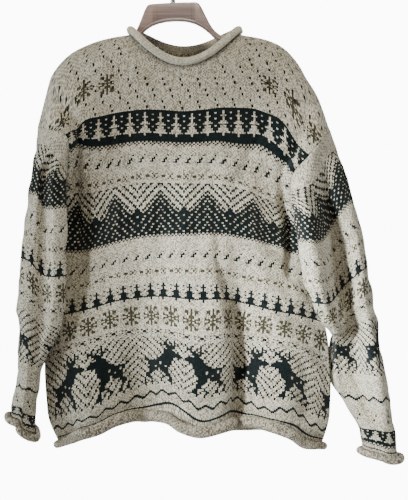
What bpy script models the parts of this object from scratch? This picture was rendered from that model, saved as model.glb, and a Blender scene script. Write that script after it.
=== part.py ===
"""Knitted drop-shoulder sweater hanging on a wooden hanger, in metres, +Z up, front towards -Y.

The origin is where a rail carries the hook. Cloth distances are measured on the knitted panels:
"across" runs sideways from the middle of the body, "fall" runs down from the neck end of the shoulder.
"""

import math
from collections import namedtuple

import bpy
import numpy as np

# Cloth
WALL = 0.0025
SEAM_GAP = 0.0003
GARMENT_X = 0.0215  # the middle of the neck, to the right of the hook
SHOULDER_Z = -0.118  # the top of the cloth at the neck end of each shoulder

# Body panels
HALF_WIDTH = 0.346
NECK_HALF = 0.1035
SHOULDER_SLOPE = 0.035  # how much lower a panel is cut at the sleeve than at the neck
FRONT_NECK_CUT = 0.082
BACK_NECK_CUT = 0.045
NECK_SQUARENESS = 0.75  # 1 gives a cosine, less a squarer curve
UNDERARM_FALL = 0.290
HEM_FALL = 0.692
TURN_LENGTH = 0.050  # cloth that turns over the hanger before it hangs straight
TURN_DROP = 0.030

# Rolled edges
HEM_ROLL = 0.0078
CUFF_ROLL = 0.0042
COLLAR_ROLL = 0.0040
COLLAR_STAND = 0.0065
ROLL_ANGLE = math.radians(285)

# Grids
ARMHOLE_ROWS = 11
LOWER_ROWS = 10
ROLL_ROWS = 5
NECK_COLUMNS = 14
SHOULDER_COLUMNS = 9
SLEEVE_ROWS = 17
FINE_STEPS = 4  # steps of the row integral for each column

# Hanger
HANGER_HALF_THICKNESS = 0.0055
HANGER_EDGE_ROUND = 0.0015
HANGER_TILT = math.radians(2.5)
HOOK_WIRE_R = 0.0019
HOOK_INNER_R = 0.019
HOOK_OPEN_ANGLE = math.radians(205)
FERRULE_R = 0.0042
FERRULE_HEIGHT = 0.006

# Positions across the cloth at which depth and droop are given
TIP = 0.181  # over the hanger's tip
CORNER = 0.213  # the outer end of the shoulder, where the cloth bends down
BEND = 0.262  # where the cloth turns in towards the armhole
KNOTS = (0.0, NECK_HALF, TIP, CORNER, BEND, HALF_WIDTH)

Edge = namedtuple("Edge", "fall out back up")
FRONT_ARMHOLE = {
    "right": (
        Edge(0.035, 0.257, 0.000, -0.286),
        Edge(0.080, 0.243, -0.045, -0.300),
        Edge(0.149, 0.211, -0.075, -0.336),
        Edge(0.200, 0.184, -0.050, -0.372),
        Edge(0.245, 0.190, -0.020, -0.418),
        Edge(0.290, 0.2065, 0.000, -0.460),
    ),
    "left": (
        Edge(0.035, 0.2555, 0.000, -0.278),
        Edge(0.080, 0.232, -0.050, -0.288),
        Edge(0.149, 0.193, -0.074, -0.308),
        Edge(0.200, 0.197, -0.045, -0.352),
        Edge(0.245, 0.206, -0.018, -0.404),
        Edge(0.290, 0.2135, 0.000, -0.450),
    ),
}
BACK_ARMHOLE = {
    "right": (
        Edge(0.035, 0.257, 0.000, -0.286),
        Edge(0.080, 0.247, 0.036, -0.304),
        Edge(0.149, 0.222, 0.054, -0.348),
        Edge(0.200, 0.208, 0.044, -0.392),
        Edge(0.245, 0.203, 0.022, -0.430),
        Edge(0.290, 0.2065, 0.000, -0.460),
    ),
    "left": (
        Edge(0.035, 0.2555, 0.000, -0.278),
        Edge(0.080, 0.246, 0.036, -0.296),
        Edge(0.149, 0.226, 0.052, -0.338),
        Edge(0.200, 0.216, 0.042, -0.382),
        Edge(0.245, 0.213, 0.022, -0.420),
        Edge(0.290, 0.2135, 0.000, -0.450),
    ),
}
SIDE_SEAM = {
    "right": (
        Edge(0.380, 0.2235, 0.002, -0.548),
        Edge(0.460, 0.247, 0.003, -0.622),
        Edge(0.530, 0.257, 0.003, -0.690),
        Edge(0.600, 0.257, 0.003, -0.757),
        Edge(0.645, 0.254, 0.002, -0.794),
        Edge(0.692, 0.241, 0.002, -0.836),
    ),
    "left": (
        Edge(0.380, 0.2235, 0.002, -0.538),
        Edge(0.460, 0.238, 0.003, -0.615),
        Edge(0.530, 0.244, 0.003, -0.685),
        Edge(0.600, 0.241, 0.003, -0.755),
        Edge(0.645, 0.236, 0.002, -0.792),
        Edge(0.692, 0.218, 0.002, -0.833),
    ),
}

# How far each panel stands out from the hanger's plane at each position
Depth = namedtuple("Depth", "fall middle neck tip corner bend")
FRONT_DEPTH = (
    Depth(0.000, 0.036, 0.036, 0.036, 0.037, 0.038),
    Depth(0.060, 0.042, 0.042, 0.038, 0.037, 0.038),
    Depth(0.100, 0.050, 0.048, 0.044, 0.044, 0.048),
    Depth(0.149, 0.055, 0.053, 0.047, 0.048, 0.056),
    Depth(0.200, 0.058, 0.056, 0.049, 0.045, 0.040),
    Depth(0.290, 0.060, 0.058, 0.046, 0.036, 0.024),
    Depth(0.450, 0.060, 0.057, 0.044, 0.036, 0.028),
    Depth(0.692, 0.058, 0.055, 0.046, 0.042, 0.034),
)
BACK_DEPTH = (
    Depth(0.000, 0.032, 0.034, 0.034, 0.034, 0.034),
    Depth(0.100, 0.042, 0.042, 0.040, 0.041, 0.044),
    Depth(0.200, 0.049, 0.049, 0.046, 0.045, 0.042),
    Depth(0.290, 0.051, 0.050, 0.045, 0.038, 0.030),
    Depth(0.450, 0.051, 0.050, 0.044, 0.037, 0.030),
    Depth(0.692, 0.050, 0.048, 0.044, 0.041, 0.034),
)

# How far the rows sag below the middle of the panel at each position
Droop = namedtuple("Droop", "fall neck tip corner bend")
DROOP = {
    "right": (
        Droop(0.000, 0.000, 0.022, 0.046, 0.096),
        Droop(0.060, 0.001, 0.022, 0.038, 0.064),
        Droop(0.149, 0.003, 0.021, 0.031, 0.048),
        Droop(0.200, 0.004, 0.023, 0.032, 0.048),
        Droop(0.290, 0.005, 0.022, 0.032, 0.048),
        Droop(0.450, 0.006, 0.025, 0.033, 0.042),
        Droop(0.692, 0.006, 0.026, 0.034, 0.040),
    ),
    "left": (
        Droop(0.000, 0.000, 0.016, 0.029, 0.068),
        Droop(0.060, 0.001, 0.018, 0.030, 0.052),
        Droop(0.149, 0.003, 0.018, 0.027, 0.042),
        Droop(0.200, 0.004, 0.020, 0.029, 0.042),
        Droop(0.290, 0.005, 0.022, 0.031, 0.046),
        Droop(0.450, 0.006, 0.022, 0.031, 0.042),
        Droop(0.692, 0.006, 0.024, 0.032, 0.038),
    ),
}

# Hanging folds: a ridge stands out, a valley (negative) goes in
Fold = namedtuple("Fold", "across height width start grow")
FRONT_FOLDS = (
    Fold(-0.235, 0.015, 0.040, 0.36, 0.26),
    Fold(-0.105, -0.027, 0.048, 0.30, 0.34),
    Fold(0.040, 0.019, 0.050, 0.26, 0.36),
    Fold(0.135, -0.028, 0.036, 0.26, 0.30),
    Fold(0.225, 0.014, 0.042, 0.34, 0.28),
)
BACK_FOLDS = (
    Fold(-0.200, 0.016, 0.045, 0.34, 0.30),
    Fold(-0.090, -0.024, 0.045, 0.26, 0.34),
    Fold(0.020, 0.018, 0.048, 0.24, 0.36),
    Fold(0.120, -0.022, 0.042, 0.30, 0.32),
    Fold(0.215, 0.014, 0.042, 0.36, 0.28),
)

# How much the hem is drawn up, from LIFT_START down
LIFT_START = 0.38
LIFT_GROW = 0.31
HemLift = namedtuple("HemLift", "across front back")
HEM_LIFT = (
    HemLift(-0.346, 0.0000, 0.0000),
    HemLift(-0.300, 0.0109, 0.0111),
    HemLift(-0.260, 0.0214, 0.0137),
    HemLift(-0.220, 0.0251, 0.0177),
    HemLift(-0.180, 0.0289, 0.0203),
    HemLift(-0.140, 0.0246, 0.0164),
    HemLift(-0.105, 0.0176, 0.0112),
    HemLift(-0.070, 0.0151, 0.0047),
    HemLift(-0.035, 0.0114, -0.0030),
    HemLift(0.000, -0.0008, -0.0080),
    HemLift(0.035, -0.0078, -0.0130),
    HemLift(0.070, -0.0013, -0.0160),
    HemLift(0.105, 0.0075, -0.0120),
    HemLift(0.140, 0.0133, -0.0018),
    HemLift(0.180, 0.0276, 0.0064),
    HemLift(0.220, 0.0308, 0.0126),
    HemLift(0.260, 0.0199, 0.0132),
    HemLift(0.300, 0.0054, 0.0034),
    HemLift(0.346, 0.0000, 0.0000),
)

# Sleeve rings below the armhole seam. lobe is how full the soft fold at the front inner corner is.
Ring = namedtuple(
    "Ring",
    "along outer_out outer_up lobe lobe_out lobe_back lobe_r lobe_drop "
    "under_out under_back under_drop ridge_back recess_back rear_back",
)
SLEEVE_RINGS = {
    "right": (
        Ring(0.060, 0.278, -0.345, 1.0, 0.207, -0.062, 0.022, 0.074, 0.222, -0.006, 0.155, -0.046, -0.040, 0.050),
        Ring(0.130, 0.301, -0.416, 1.0, 0.216, -0.066, 0.023, 0.072, 0.233, -0.004, 0.130, -0.044, -0.024, 0.052),
        Ring(0.200, 0.317, -0.484, 1.0, 0.226, -0.066, 0.021, 0.068, 0.250, 0.000, 0.106, -0.044, -0.018, 0.052),
        Ring(0.250, 0.325, -0.533, 1.0, 0.238, -0.064, 0.017, 0.060, 0.260, 0.000, 0.082, -0.044, -0.016, 0.050),
        Ring(0.285, 0.330, -0.567, 1.0, 0.252, -0.057, 0.015, 0.052, 0.264, 0.004, 0.062, -0.044, -0.026, 0.048),
        Ring(0.315, 0.334, -0.597, 0.7, 0.260, -0.048, 0.016, 0.036, 0.263, 0.012, 0.042, -0.044, -0.032, 0.047),
        Ring(0.350, 0.340, -0.630, 0.3, 0.266, -0.030, 0.014, 0.014, 0.259, 0.021, 0.024, -0.044, -0.028, 0.047),
        Ring(0.410, 0.349, -0.688, 0.0, 0.268, -0.006, 0.012, 0.002, 0.257, 0.024, 0.008, -0.044, -0.018, 0.047),
        Ring(0.450, 0.356, -0.727, 0.0, 0.270, -0.008, 0.012, 0.000, 0.261, 0.020, 0.000, -0.043, -0.022, 0.045),
        Ring(0.500, 0.364, -0.775, 0.0, 0.295, -0.016, 0.012, -0.002, 0.289, 0.008, -0.002, -0.042, -0.034, 0.041),
        Ring(0.540, 0.370, -0.813, 0.0, 0.311, -0.018, 0.012, -0.006, 0.306, 0.004, -0.006, -0.039, -0.036, 0.038),
        Ring(0.588, 0.376, -0.858, 0.0, 0.318, -0.018, 0.012, -0.014, 0.313, 0.002, -0.014, -0.035, -0.035, 0.034),
    ),
    "left": (
        Ring(0.060, 0.262, -0.338, 0.9, 0.214, -0.066, 0.019, 0.030, 0.226, -0.006, 0.150, -0.066, -0.066, 0.050),
        Ring(0.130, 0.273, -0.407, 0.9, 0.214, -0.066, 0.020, 0.030, 0.232, -0.004, 0.125, -0.066, -0.066, 0.050),
        Ring(0.200, 0.281, -0.476, 0.9, 0.215, -0.066, 0.020, 0.032, 0.240, -0.002, 0.100, -0.066, -0.068, 0.050),
        Ring(0.270, 0.288, -0.546, 0.9, 0.216, -0.064, 0.020, 0.034, 0.248, 0.000, 0.070, -0.064, -0.066, 0.050),
        Ring(0.320, 0.291, -0.596, 0.8, 0.222, -0.058, 0.018, 0.030, 0.251, 0.000, 0.045, -0.058, -0.060, 0.048),
        Ring(0.370, 0.289, -0.646, 0.5, 0.234, -0.048, 0.015, 0.020, 0.252, 0.002, 0.022, -0.054, -0.054, 0.046),
        Ring(0.430, 0.291, -0.706, 0.0, 0.249, -0.028, 0.012, 0.008, 0.251, 0.006, 0.008, -0.049, -0.048, 0.044),
        Ring(0.480, 0.299, -0.750, 0.0, 0.256, -0.022, 0.012, 0.014, 0.259, 0.004, 0.014, -0.043, -0.042, 0.039),
        Ring(0.520, 0.304, -0.786, 0.0, 0.262, -0.018, 0.012, 0.034, 0.261, 0.002, 0.034, -0.036, -0.036, 0.034),
    ),
}
RIDGE_IN = 0.024  # from the outer edge of a sleeve to its front ridge

# Hanger outline, from the middle outwards
Section = namedtuple("Section", "out top bottom")
HANGER = (
    Section(0.000, -0.0620, -0.0945),
    Section(0.020, -0.0620, -0.0955),
    Section(0.043, -0.0635, -0.1010),
    Section(0.049, -0.0700, -0.1075),
    Section(0.055, -0.0840, -0.1115),
    Section(0.061, -0.0980, -0.1165),
    Section(0.064, -0.1080, -0.1195),
    Section(0.068, -0.1210, -0.1290),
    Section(0.078, -0.1255, -0.1345),
    Section(0.102, -0.1316, -0.1430),
    Section(0.120, -0.1335, -0.1460),
    Section(0.140, -0.1362, -0.1495),
    Section(0.160, -0.1408, -0.1543),
    Section(0.168, -0.1446, -0.1574),
    Section(0.176, -0.1499, -0.1606),
    Section(0.183, -0.1549, -0.1634),
    Section(0.186, -0.1588, -0.1626),
)

# Colours
WOOL = (0.62, 0.56, 0.46, 1.0)
WOOD = (0.36, 0.27, 0.24, 1.0)
STEEL = (0.70, 0.70, 0.72, 1.0)


def through(knots, values, at):
    """A smooth curve through values at knots, read at the positions in at."""
    knots = np.asarray(knots, float)
    values = np.asarray(values, float)
    slopes = np.gradient(values, knots, axis=0)
    at = np.clip(np.asarray(at, float), knots[0], knots[-1])
    i = np.clip(np.searchsorted(knots, at, side="right") - 1, 0, len(knots) - 2)
    width = knots[i + 1] - knots[i]
    t = (at - knots[i]) / width
    if values.ndim > 1:
        t = t[..., None]
        width = width[..., None]
    return (
        values[i] * (2 * t**3 - 3 * t**2 + 1)
        + slopes[i] * width * (t**3 - 2 * t**2 + t)
        + values[i + 1] * (3 * t**2 - 2 * t**3)
        + slopes[i + 1] * width * (t**3 - t**2)
    )


def read(table, column, at):
    """One named column of a table, whose first column is the distance along the cloth."""
    return through([row[0] for row in table], [getattr(row, column) for row in table], at)


def rise(distance):
    """0 up to 0 and 1 from 1 on, smooth between."""
    t = np.clip(distance, 0, 1)
    return t * t * (3 - 2 * t)


def shoulder_top(across):
    """Fall at which the shoulder edge is cut."""
    out = np.clip(np.abs(across) - NECK_HALF, 0, None)
    return SHOULDER_SLOPE * out / (HALF_WIDTH - NECK_HALF)


def panel_top(across, neck_cut):
    """Fall at which a panel begins: its shoulder, or the curve of the neck."""
    inside = np.clip(np.abs(across) / NECK_HALF, 0, 1)
    return np.where(
        np.abs(across) < NECK_HALF - 1e-9,
        neck_cut * np.cos(inside * math.pi / 2) ** NECK_SQUARENESS,
        shoulder_top(across),
    )


def read_edge(side, armholes, column, fall):
    """A column of a panel's side edge: the armhole, and below it the seam that both panels share."""
    seam = armholes[side][-1:] + SIDE_SEAM[side]
    above = read(armholes[side], column, fall)
    return np.where(fall < UNDERARM_FALL + 1e-9, above, read(seam, column, fall))


def fold_push(across, fall, folds):
    """How far the hanging folds push the cloth outwards."""
    push = np.zeros_like(across)
    for fold in folds:
        shape = np.exp(-(((across - fold.across) / fold.width) ** 2))
        push += fold.height * shape * rise((fall - fold.start) / fold.grow)
    return push


def row_values(fall, way, armholes, depths):
    """Depth, height, and edge distances of the cloth at every knot, for an array of falls."""
    turned = np.clip(fall / TURN_LENGTH, 0, 1) * math.pi / 2
    hung = np.where(
        fall < TURN_LENGTH,
        TURN_DROP * (1 - np.cos(turned)),
        fall - TURN_LENGTH + TURN_DROP,
    )
    depth = [read(depths, name, fall) for name in ("middle", "neck", "tip", "corner", "bend")]
    sides = {}
    for side in ("left", "right"):
        droop = [read(DROOP[side], name, fall) for name in ("neck", "tip", "corner", "bend")]
        edge_up = read_edge(side, armholes, "up", fall)
        edge_droop = SHOULDER_Z - hung - edge_up
        edge_depth = way * read_edge(side, armholes, "back", fall)
        sides[side] = (
            [*depth[1:], edge_depth],
            [*droop, edge_droop],
            read_edge(side, armholes, "out", fall),
        )
    return depth[0], sides, hung


def across_row(across, middle, left, right):
    """Reads values given at the knots of both sides, at the positions in across."""
    knots = [-k for k in reversed(KNOTS[1:])] + list(KNOTS)
    values = np.array([*reversed(left), middle, *right])
    return np.array([through(knots, values[:, i], a) for i, a in enumerate(across)])


def panel_row(across, fall, way, armholes, depths, folds):
    """Points of one row of a panel. way is -1 for the front and 1 for the back."""
    middle, sides, hung = row_values(fall, way, armholes, depths)
    left, right = sides["left"], sides["right"]
    depth = across_row(across, middle, left[0], right[0])
    droop = across_row(across, 0 * middle, left[1], right[1])
    turned = np.clip((fall - shoulder_top(across)) / TURN_LENGTH, 0, 1)
    turn = np.sin(turned * math.pi / 2)
    at_edge = np.clip((np.abs(across) - BEND) / (HALF_WIDTH - BEND), 0, 1)
    edge_depth = np.where(across < 0, left[0][-1], right[0][-1])
    depth = depth * turn + (1 - turn) * rise(at_edge) * edge_depth
    lift = read(HEM_LIFT, "front" if way < 0 else "back", across) * rise((fall - LIFT_START) / LIFT_GROW)
    y = way * (depth + fold_push(across, fall, folds))
    z = SHOULDER_Z - hung - droop + lift
    steps = np.diff(across) ** 2 + np.diff(fall) ** 2 - np.diff(y) ** 2 - np.diff(z) ** 2
    steps = np.sqrt(np.maximum(steps, (0.3 * np.diff(across)) ** 2))
    x = np.concatenate([[0], np.cumsum(steps)])
    x -= np.interp(0, across, x)
    x = np.where(x < 0, x * left[2][0] / -x[0], x * right[2][-1] / x[-1])
    return np.stack([x + GARMENT_X, y, z], axis=1)


def panel_columns():
    shoulder = np.linspace(NECK_HALF, HALF_WIDTH, SHOULDER_COLUMNS + 1)[1:]
    neck = np.linspace(-NECK_HALF, NECK_HALF, NECK_COLUMNS + 1)
    return np.concatenate([-shoulder[::-1], neck, shoulder])


def finer(values, steps):
    """Adds evenly spaced values between each two."""
    places = np.arange((len(values) - 1) * steps + 1) / steps
    return np.interp(places, np.arange(len(values)), values)


def panel_points(way, armholes, depths, folds, neck_cut):
    """Outer points of a panel as rows of columns, from its top edge to its hem."""
    columns = finer(panel_columns(), FINE_STEPS)
    top = panel_top(columns, neck_cut)
    rows = []
    for share in np.linspace(0, 1, ARMHOLE_ROWS + 1):
        rows.append(top + (UNDERARM_FALL - top) * share)
    for share in np.linspace(0, 1, LOWER_ROWS + 1)[1:]:
        rows.append(np.full_like(columns, UNDERARM_FALL + (HEM_FALL - UNDERARM_FALL) * share))
    points = [panel_row(columns, fall, way, armholes, depths, folds) for fall in rows]
    return np.array(points)[:, ::FINE_STEPS]


def unit(vectors):
    length = np.linalg.norm(vectors, axis=-1, keepdims=True)
    return vectors / np.maximum(length, 1e-12)


def grid_normals(points, closed, outward):
    """Normals of a grid of points. outward is 1 or -1, for the side that faces out."""
    along = np.gradient(points, axis=0)
    if closed:
        around = np.roll(points, -1, axis=1) - np.roll(points, 1, axis=1)
    else:
        around = np.gradient(points, axis=1)
    return unit(np.cross(around, along) * outward)


def square_to(normals, direction):
    """Normals made square to a direction."""
    direction = unit(direction)
    return unit(normals - (normals * direction).sum(-1, keepdims=True) * direction)


def rolled_rows(edge, normals, down, radius, gap_angle=ROLL_ANGLE, rows=ROLL_ROWS):
    """Outer points and normals of an edge that curls outwards, row by row."""
    centre = edge + normals * radius
    points = []
    turned = []
    for angle in np.linspace(0, gap_angle, rows + 1)[1:]:
        normal = normals * math.cos(angle) - down * math.sin(angle)
        points.append(centre - normal * radius)
        turned.append(normal)
    return np.array(points), np.array(turned)


def add_material(name, colour, roughness, metallic=0.0):
    material = bpy.data.materials.new(name)
    material.use_nodes = True
    shader = material.node_tree.nodes["Principled BSDF"]
    shader.inputs["Base Color"].default_value = colour
    shader.inputs["Roughness"].default_value = roughness
    shader.inputs["Metallic"].default_value = metallic
    return material


def rim_faces(vertices, a, b, behind, ahead):
    """Two triangles of a rim. Both sides of a seam split theirs along the same diagonal."""
    slant = (vertices[a] - vertices[b]) @ (0.37, 0.11, 1.0)
    if slant > 0:
        faces = [[b, a, b + behind], [a, a + behind, b + behind]]
    else:
        faces = [[b, a, a + behind], [b, a + behind, b + behind]]
    return faces if ahead else [face[::-1] for face in faces]


def add_wall(name, points, normals, closed, outward, material, collection):
    """A cloth wall: the grid of outer points, the inner grid one wall behind it, and their rims."""
    rows, columns = points.shape[:2]
    inner = points - normals * WALL
    vertices = np.concatenate([points.reshape(-1, 3), inner.reshape(-1, 3)])
    behind = rows * columns
    last = columns if closed else columns - 1
    faces = []

    def corner(row, column):
        return row * columns + column % columns

    for row in range(rows - 1):
        for column in range(last):
            quad = [
                corner(row, column),
                corner(row, column + 1),
                corner(row + 1, column + 1),
                corner(row + 1, column),
            ]
            faces.append(quad)
            faces.append([i + behind for i in reversed(quad)])
    for row, ahead in ((0, True), (rows - 1, False)):
        for column in range(last):
            a, b = corner(row, column), corner(row, column + 1)
            faces += rim_faces(vertices, a, b, behind, ahead)
    if not closed:
        for column, ahead in ((0, False), (columns - 1, True)):
            for row in range(rows - 1):
                a, b = corner(row, column), corner(row + 1, column)
                faces += rim_faces(vertices, a, b, behind, ahead)
    if outward < 0:
        faces = [face[::-1] for face in faces]
    mesh = bpy.data.meshes.new(name)
    mesh.from_pydata(vertices.tolist(), [], faces)
    mesh.materials.append(material)
    mesh.shade_smooth()
    obj = bpy.data.objects.new(name, mesh)
    collection.objects.link(obj)
    return obj


def sleeve_ring(ring):
    """Points round a sleeve at one station, from its outer edge through the front and the underarm."""
    lobe_x, lobe_y, r = ring.lobe_out, ring.lobe_back, ring.lobe_r
    ridge_x = ring.outer_out - RIDGE_IN
    recess_x = (ridge_x + lobe_x + r) / 2
    width = ring.outer_out - ring.under_out
    middle_x = ring.under_out + width / 2
    rear = ring.rear_back
    drop, under = ring.lobe_drop, ring.under_drop
    half_drop = 0.5 * (drop + under)
    full = (
        (0.220, lobe_x + r, lobe_y + 0.2 * r, 0.95 * drop),
        (0.280, lobe_x, lobe_y - r, drop),
        (0.345, lobe_x - r, lobe_y, drop),
        (0.425, lobe_x + 0.3 * r, lobe_y + r, half_drop),
    )
    flat_y = ring.recess_back
    flat = (
        (0.220, 0.55 * recess_x + 0.45 * lobe_x, 0.75 * flat_y + 0.25 * lobe_y, 0.8 * drop),
        (0.280, 0.22 * recess_x + 0.78 * lobe_x, 0.50 * flat_y + 0.50 * lobe_y, 0.9 * drop),
        (0.345, lobe_x - 0.1 * r, lobe_y, drop),
        (0.425, 0.50 * (lobe_x + ring.under_out) - 0.1 * r, 0.5 * (lobe_y + ring.under_back), half_drop),
    )
    corner = ring.lobe * np.array(full) + (1 - ring.lobe) * np.array(flat)
    marks = (
        (0.000, ring.outer_out, 0.002, 0.0),
        (0.055, ring.outer_out - 0.008, ring.ridge_back * 0.70, 0.05 * drop),
        (0.110, ridge_x, ring.ridge_back, 0.20 * drop),
        (0.165, recess_x, ring.recess_back, 0.60 * drop),
        *corner,
        (0.500, ring.under_out, ring.under_back, under),
        (0.610, ring.under_out + 0.15 * width, 0.28 * ring.under_back + 0.72 * rear, 0.75 * under),
        (0.750, middle_x, rear, 0.45 * under),
        (0.890, ring.outer_out - 0.18 * width, rear * 0.66, 0.08 * under),
    )
    marks = np.array(marks)
    places = np.concatenate([marks[-3:, 0] - 1, marks[:, 0], marks[:3, 0] + 1])
    values = np.concatenate([marks[-3:, 1:], marks[:, 1:], marks[:3, 1:]])
    count = 2 * ARMHOLE_ROWS
    found = through(places, values, np.arange(count) / count)
    return np.stack([found[:, 0], found[:, 1], ring.outer_up - found[:, 2]], axis=1)


def sleeve_points(side, armhole):
    """Outer points of a sleeve, from the armhole seam to the cuff. armhole is the ring of seam points."""
    sign = 1 if side == "right" else -1
    rings = SLEEVE_RINGS[side]
    shaped = []
    for ring in rings:
        found = sleeve_ring(ring)
        found[:, 0] = GARMENT_X + sign * found[:, 0]
        shaped.append(found)
    stations = [0.0, *[ring.along for ring in rings]]
    grid = np.array([armhole, *shaped])
    count = len(armhole)
    along = np.linspace(0, stations[-1], SLEEVE_ROWS + 1)
    flat = through(stations, grid.reshape(len(grid), -1), along)
    return flat.reshape(len(along), count, 3)


def shifted(points, towards, distance):
    """Points moved a distance in the direction of others."""
    return points + unit(towards - points) * distance


def body_and_sleeves(collection):
    wool = add_material("wool", WOOL, 0.95)
    front = panel_points(-1, FRONT_ARMHOLE, FRONT_DEPTH, FRONT_FOLDS, FRONT_NECK_CUT)
    back = panel_points(1, BACK_ARMHOLE, BACK_DEPTH, BACK_FOLDS, BACK_NECK_CUT)
    normals = {"front": grid_normals(front, False, -1), "back": grid_normals(back, False, 1)}
    panels = {"front": front, "back": back}
    under = ARMHOLE_ROWS

    # Shoulder seams: the walls of both panels end in upright faces along the seam.
    shoulder_line = np.gradient(front[0], axis=0)
    up = unit(np.cross(shoulder_line, [0.0, 1.0, 0.0]))
    up = np.where(up[:, 2:] < 0, -up, up)
    neck = np.abs(panel_columns()) < NECK_HALF - 1e-9
    for panel in normals.values():
        panel[0][~neck] = up[~neck]

    sleeves = {}
    for side, column in (("left", 0), ("right", -1)):
        # Side seams: both panels share the outward direction there.
        shared = unit(normals["front"][:, column] + normals["back"][:, column])
        shared[:, 1] = 0
        shared = square_to(shared, np.gradient(front[:, column], axis=0))
        for panel in normals.values():
            panel[under + 1 :, column] = shared[under + 1 :]
        # Armhole seams: panel and sleeve share a direction all round the ring.
        armhole = np.concatenate([front[: under + 1, column], back[under - 1 : 0 : -1, column]])
        sleeve = sleeve_points(side, armhole)
        outward = 1 if side == "right" else -1
        sleeve_normals = grid_normals(sleeve, True, outward)
        ring = np.concatenate(
            [normals["front"][: under + 1, column], normals["back"][under - 1 : 0 : -1, column]]
        )
        ring = unit(ring + sleeve_normals[0])
        tangent = np.roll(armhole, -1, axis=0) - np.roll(armhole, 1, axis=0)
        ring = square_to(ring, tangent)
        ring[under] = (0.35 * outward, 0.0, -0.94)
        sleeve_normals[0] = ring
        sleeve_normals[0, under, 0] *= -1
        normals["front"][: under + 1, column] = ring[: under + 1]
        normals["back"][1 : under + 1, column] = ring[: under - 1 : -1]
        normals["back"][0, column] = ring[0]
        sleeves[side] = (sleeve, sleeve_normals, outward)

    ring, ring_normals = neck_ring(panels, normals)

    # Gaps at the seams.
    half = SEAM_GAP / 2
    for way, name in ((-1, "front"), (1, "back")):
        panel = panels[name]
        panel[:, 0] = shifted(panel[:, 0], panel[:, 1], half)
        panel[:, -1] = shifted(panel[:, -1], panel[:, -2], half)
        panel[0][~neck] += (0.0, way * half, 0.0)
        panel[under + 1 :, 0] += (0.0, way * half, 0.0)
        panel[under + 1 :, -1] += (0.0, way * half, 0.0)
        panel[under, [0, -1]] += (0.0, way * half, -half)

    for name, outward in (("front", -1), ("back", 1)):
        points, panel_normals = panels[name], normals[name]
        down = square_to(points[-1] - points[-2], panel_normals[-1])
        aside = rise((np.abs(panel_columns()) - BEND) / (HALF_WIDTH - BEND))
        radius = (HEM_ROLL * (1 - 0.45 * aside))[:, None]
        rolled, turned = rolled_rows(points[-1], panel_normals[-1], down, radius)
        points = np.concatenate([points, rolled])
        panel_normals = np.concatenate([panel_normals, turned])
        add_wall(name, points, panel_normals, False, outward, wool, collection)

    for side, (points, sleeve_normals, outward) in sleeves.items():
        points[0] = shifted(points[0], points[1], half)
        down = square_to(points[-1] - points[-2], sleeve_normals[-1])
        rolled, turned = rolled_rows(points[-1], sleeve_normals[-1], down, CUFF_ROLL)
        points = np.concatenate([points, rolled])
        sleeve_normals = np.concatenate([sleeve_normals, turned])
        add_wall(f"sleeve_{side}", points, sleeve_normals, True, outward, wool, collection)

    add_collar(ring, ring_normals, wool, collection)


def neck_ring(panels, normals):
    """Neck edge points, and the outward directions that the panels and the collar share there."""
    columns = np.where(np.abs(panel_columns()) < NECK_HALF + 1e-9)[0]
    back_columns = columns[-2:0:-1]
    ring = np.concatenate([panels["front"][0, columns], panels["back"][0, back_columns]])
    found = np.concatenate([normals["front"][0, columns], normals["back"][0, back_columns]])
    found[[0, NECK_COLUMNS]] = (0.0, 0.0, 1.0)
    tangent = np.roll(ring, -1, axis=0) - np.roll(ring, 1, axis=0)
    out = ring - ring.mean(axis=0)
    out[:, 2] = 0
    found = square_to(unit(found + unit(out)), tangent)
    normals["front"][0, columns] = found[: len(columns)]
    normals["back"][0, back_columns] = found[len(columns) :]
    normals["back"][0, columns[[0, -1]]] = found[[0, NECK_COLUMNS]]
    return ring, found


def add_collar(ring, normals, material, collection):
    """The rolled neckband: it is picked up round the neck, stands a little and rolls outwards."""
    tangent = np.roll(ring, -1, axis=0) - np.roll(ring, 1, axis=0)
    away = unit(np.cross(normals, tangent))
    start = ring + away * SEAM_GAP
    stand = start + away * COLLAR_STAND
    rolled, turned = rolled_rows(stand, normals, away, COLLAR_ROLL)
    points = np.concatenate([[start, stand], rolled])
    normals = np.concatenate([[normals, normals], turned])
    add_wall("collar", points, normals, True, 1, material, collection)


def add_hanger(collection):
    """The wooden hanger: one flat outline, with rounded edges, that the shoulders lie on."""
    wood = add_material("wood", WOOD, 0.45)
    top = [(section.out, section.top) for section in HANGER]
    bottom = [(section.out, section.bottom) for section in HANGER]
    half = top + bottom[::-1]
    outline = half + [(-x, z) for x, z in reversed(half) if x > 0]
    curve = bpy.data.curves.new("hanger", "CURVE")
    curve.dimensions = "2D"
    curve.fill_mode = "BOTH"
    curve.extrude = HANGER_HALF_THICKNESS - HANGER_EDGE_ROUND
    curve.bevel_depth = HANGER_EDGE_ROUND
    curve.bevel_resolution = 1
    curve.offset = -HANGER_EDGE_ROUND
    spline = curve.splines.new("POLY")
    spline.points.add(len(outline) - 1)
    for point, (x, z) in zip(spline.points, outline):
        point.co = (x, z, 0.0, 1.0)
    spline.use_cyclic_u = True
    curve.materials.append(wood)
    hanger = bpy.data.objects.new("hanger", curve)
    hanger.rotation_euler = (math.pi / 2, -HANGER_TILT, 0.0)
    collection.objects.link(hanger)


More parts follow.
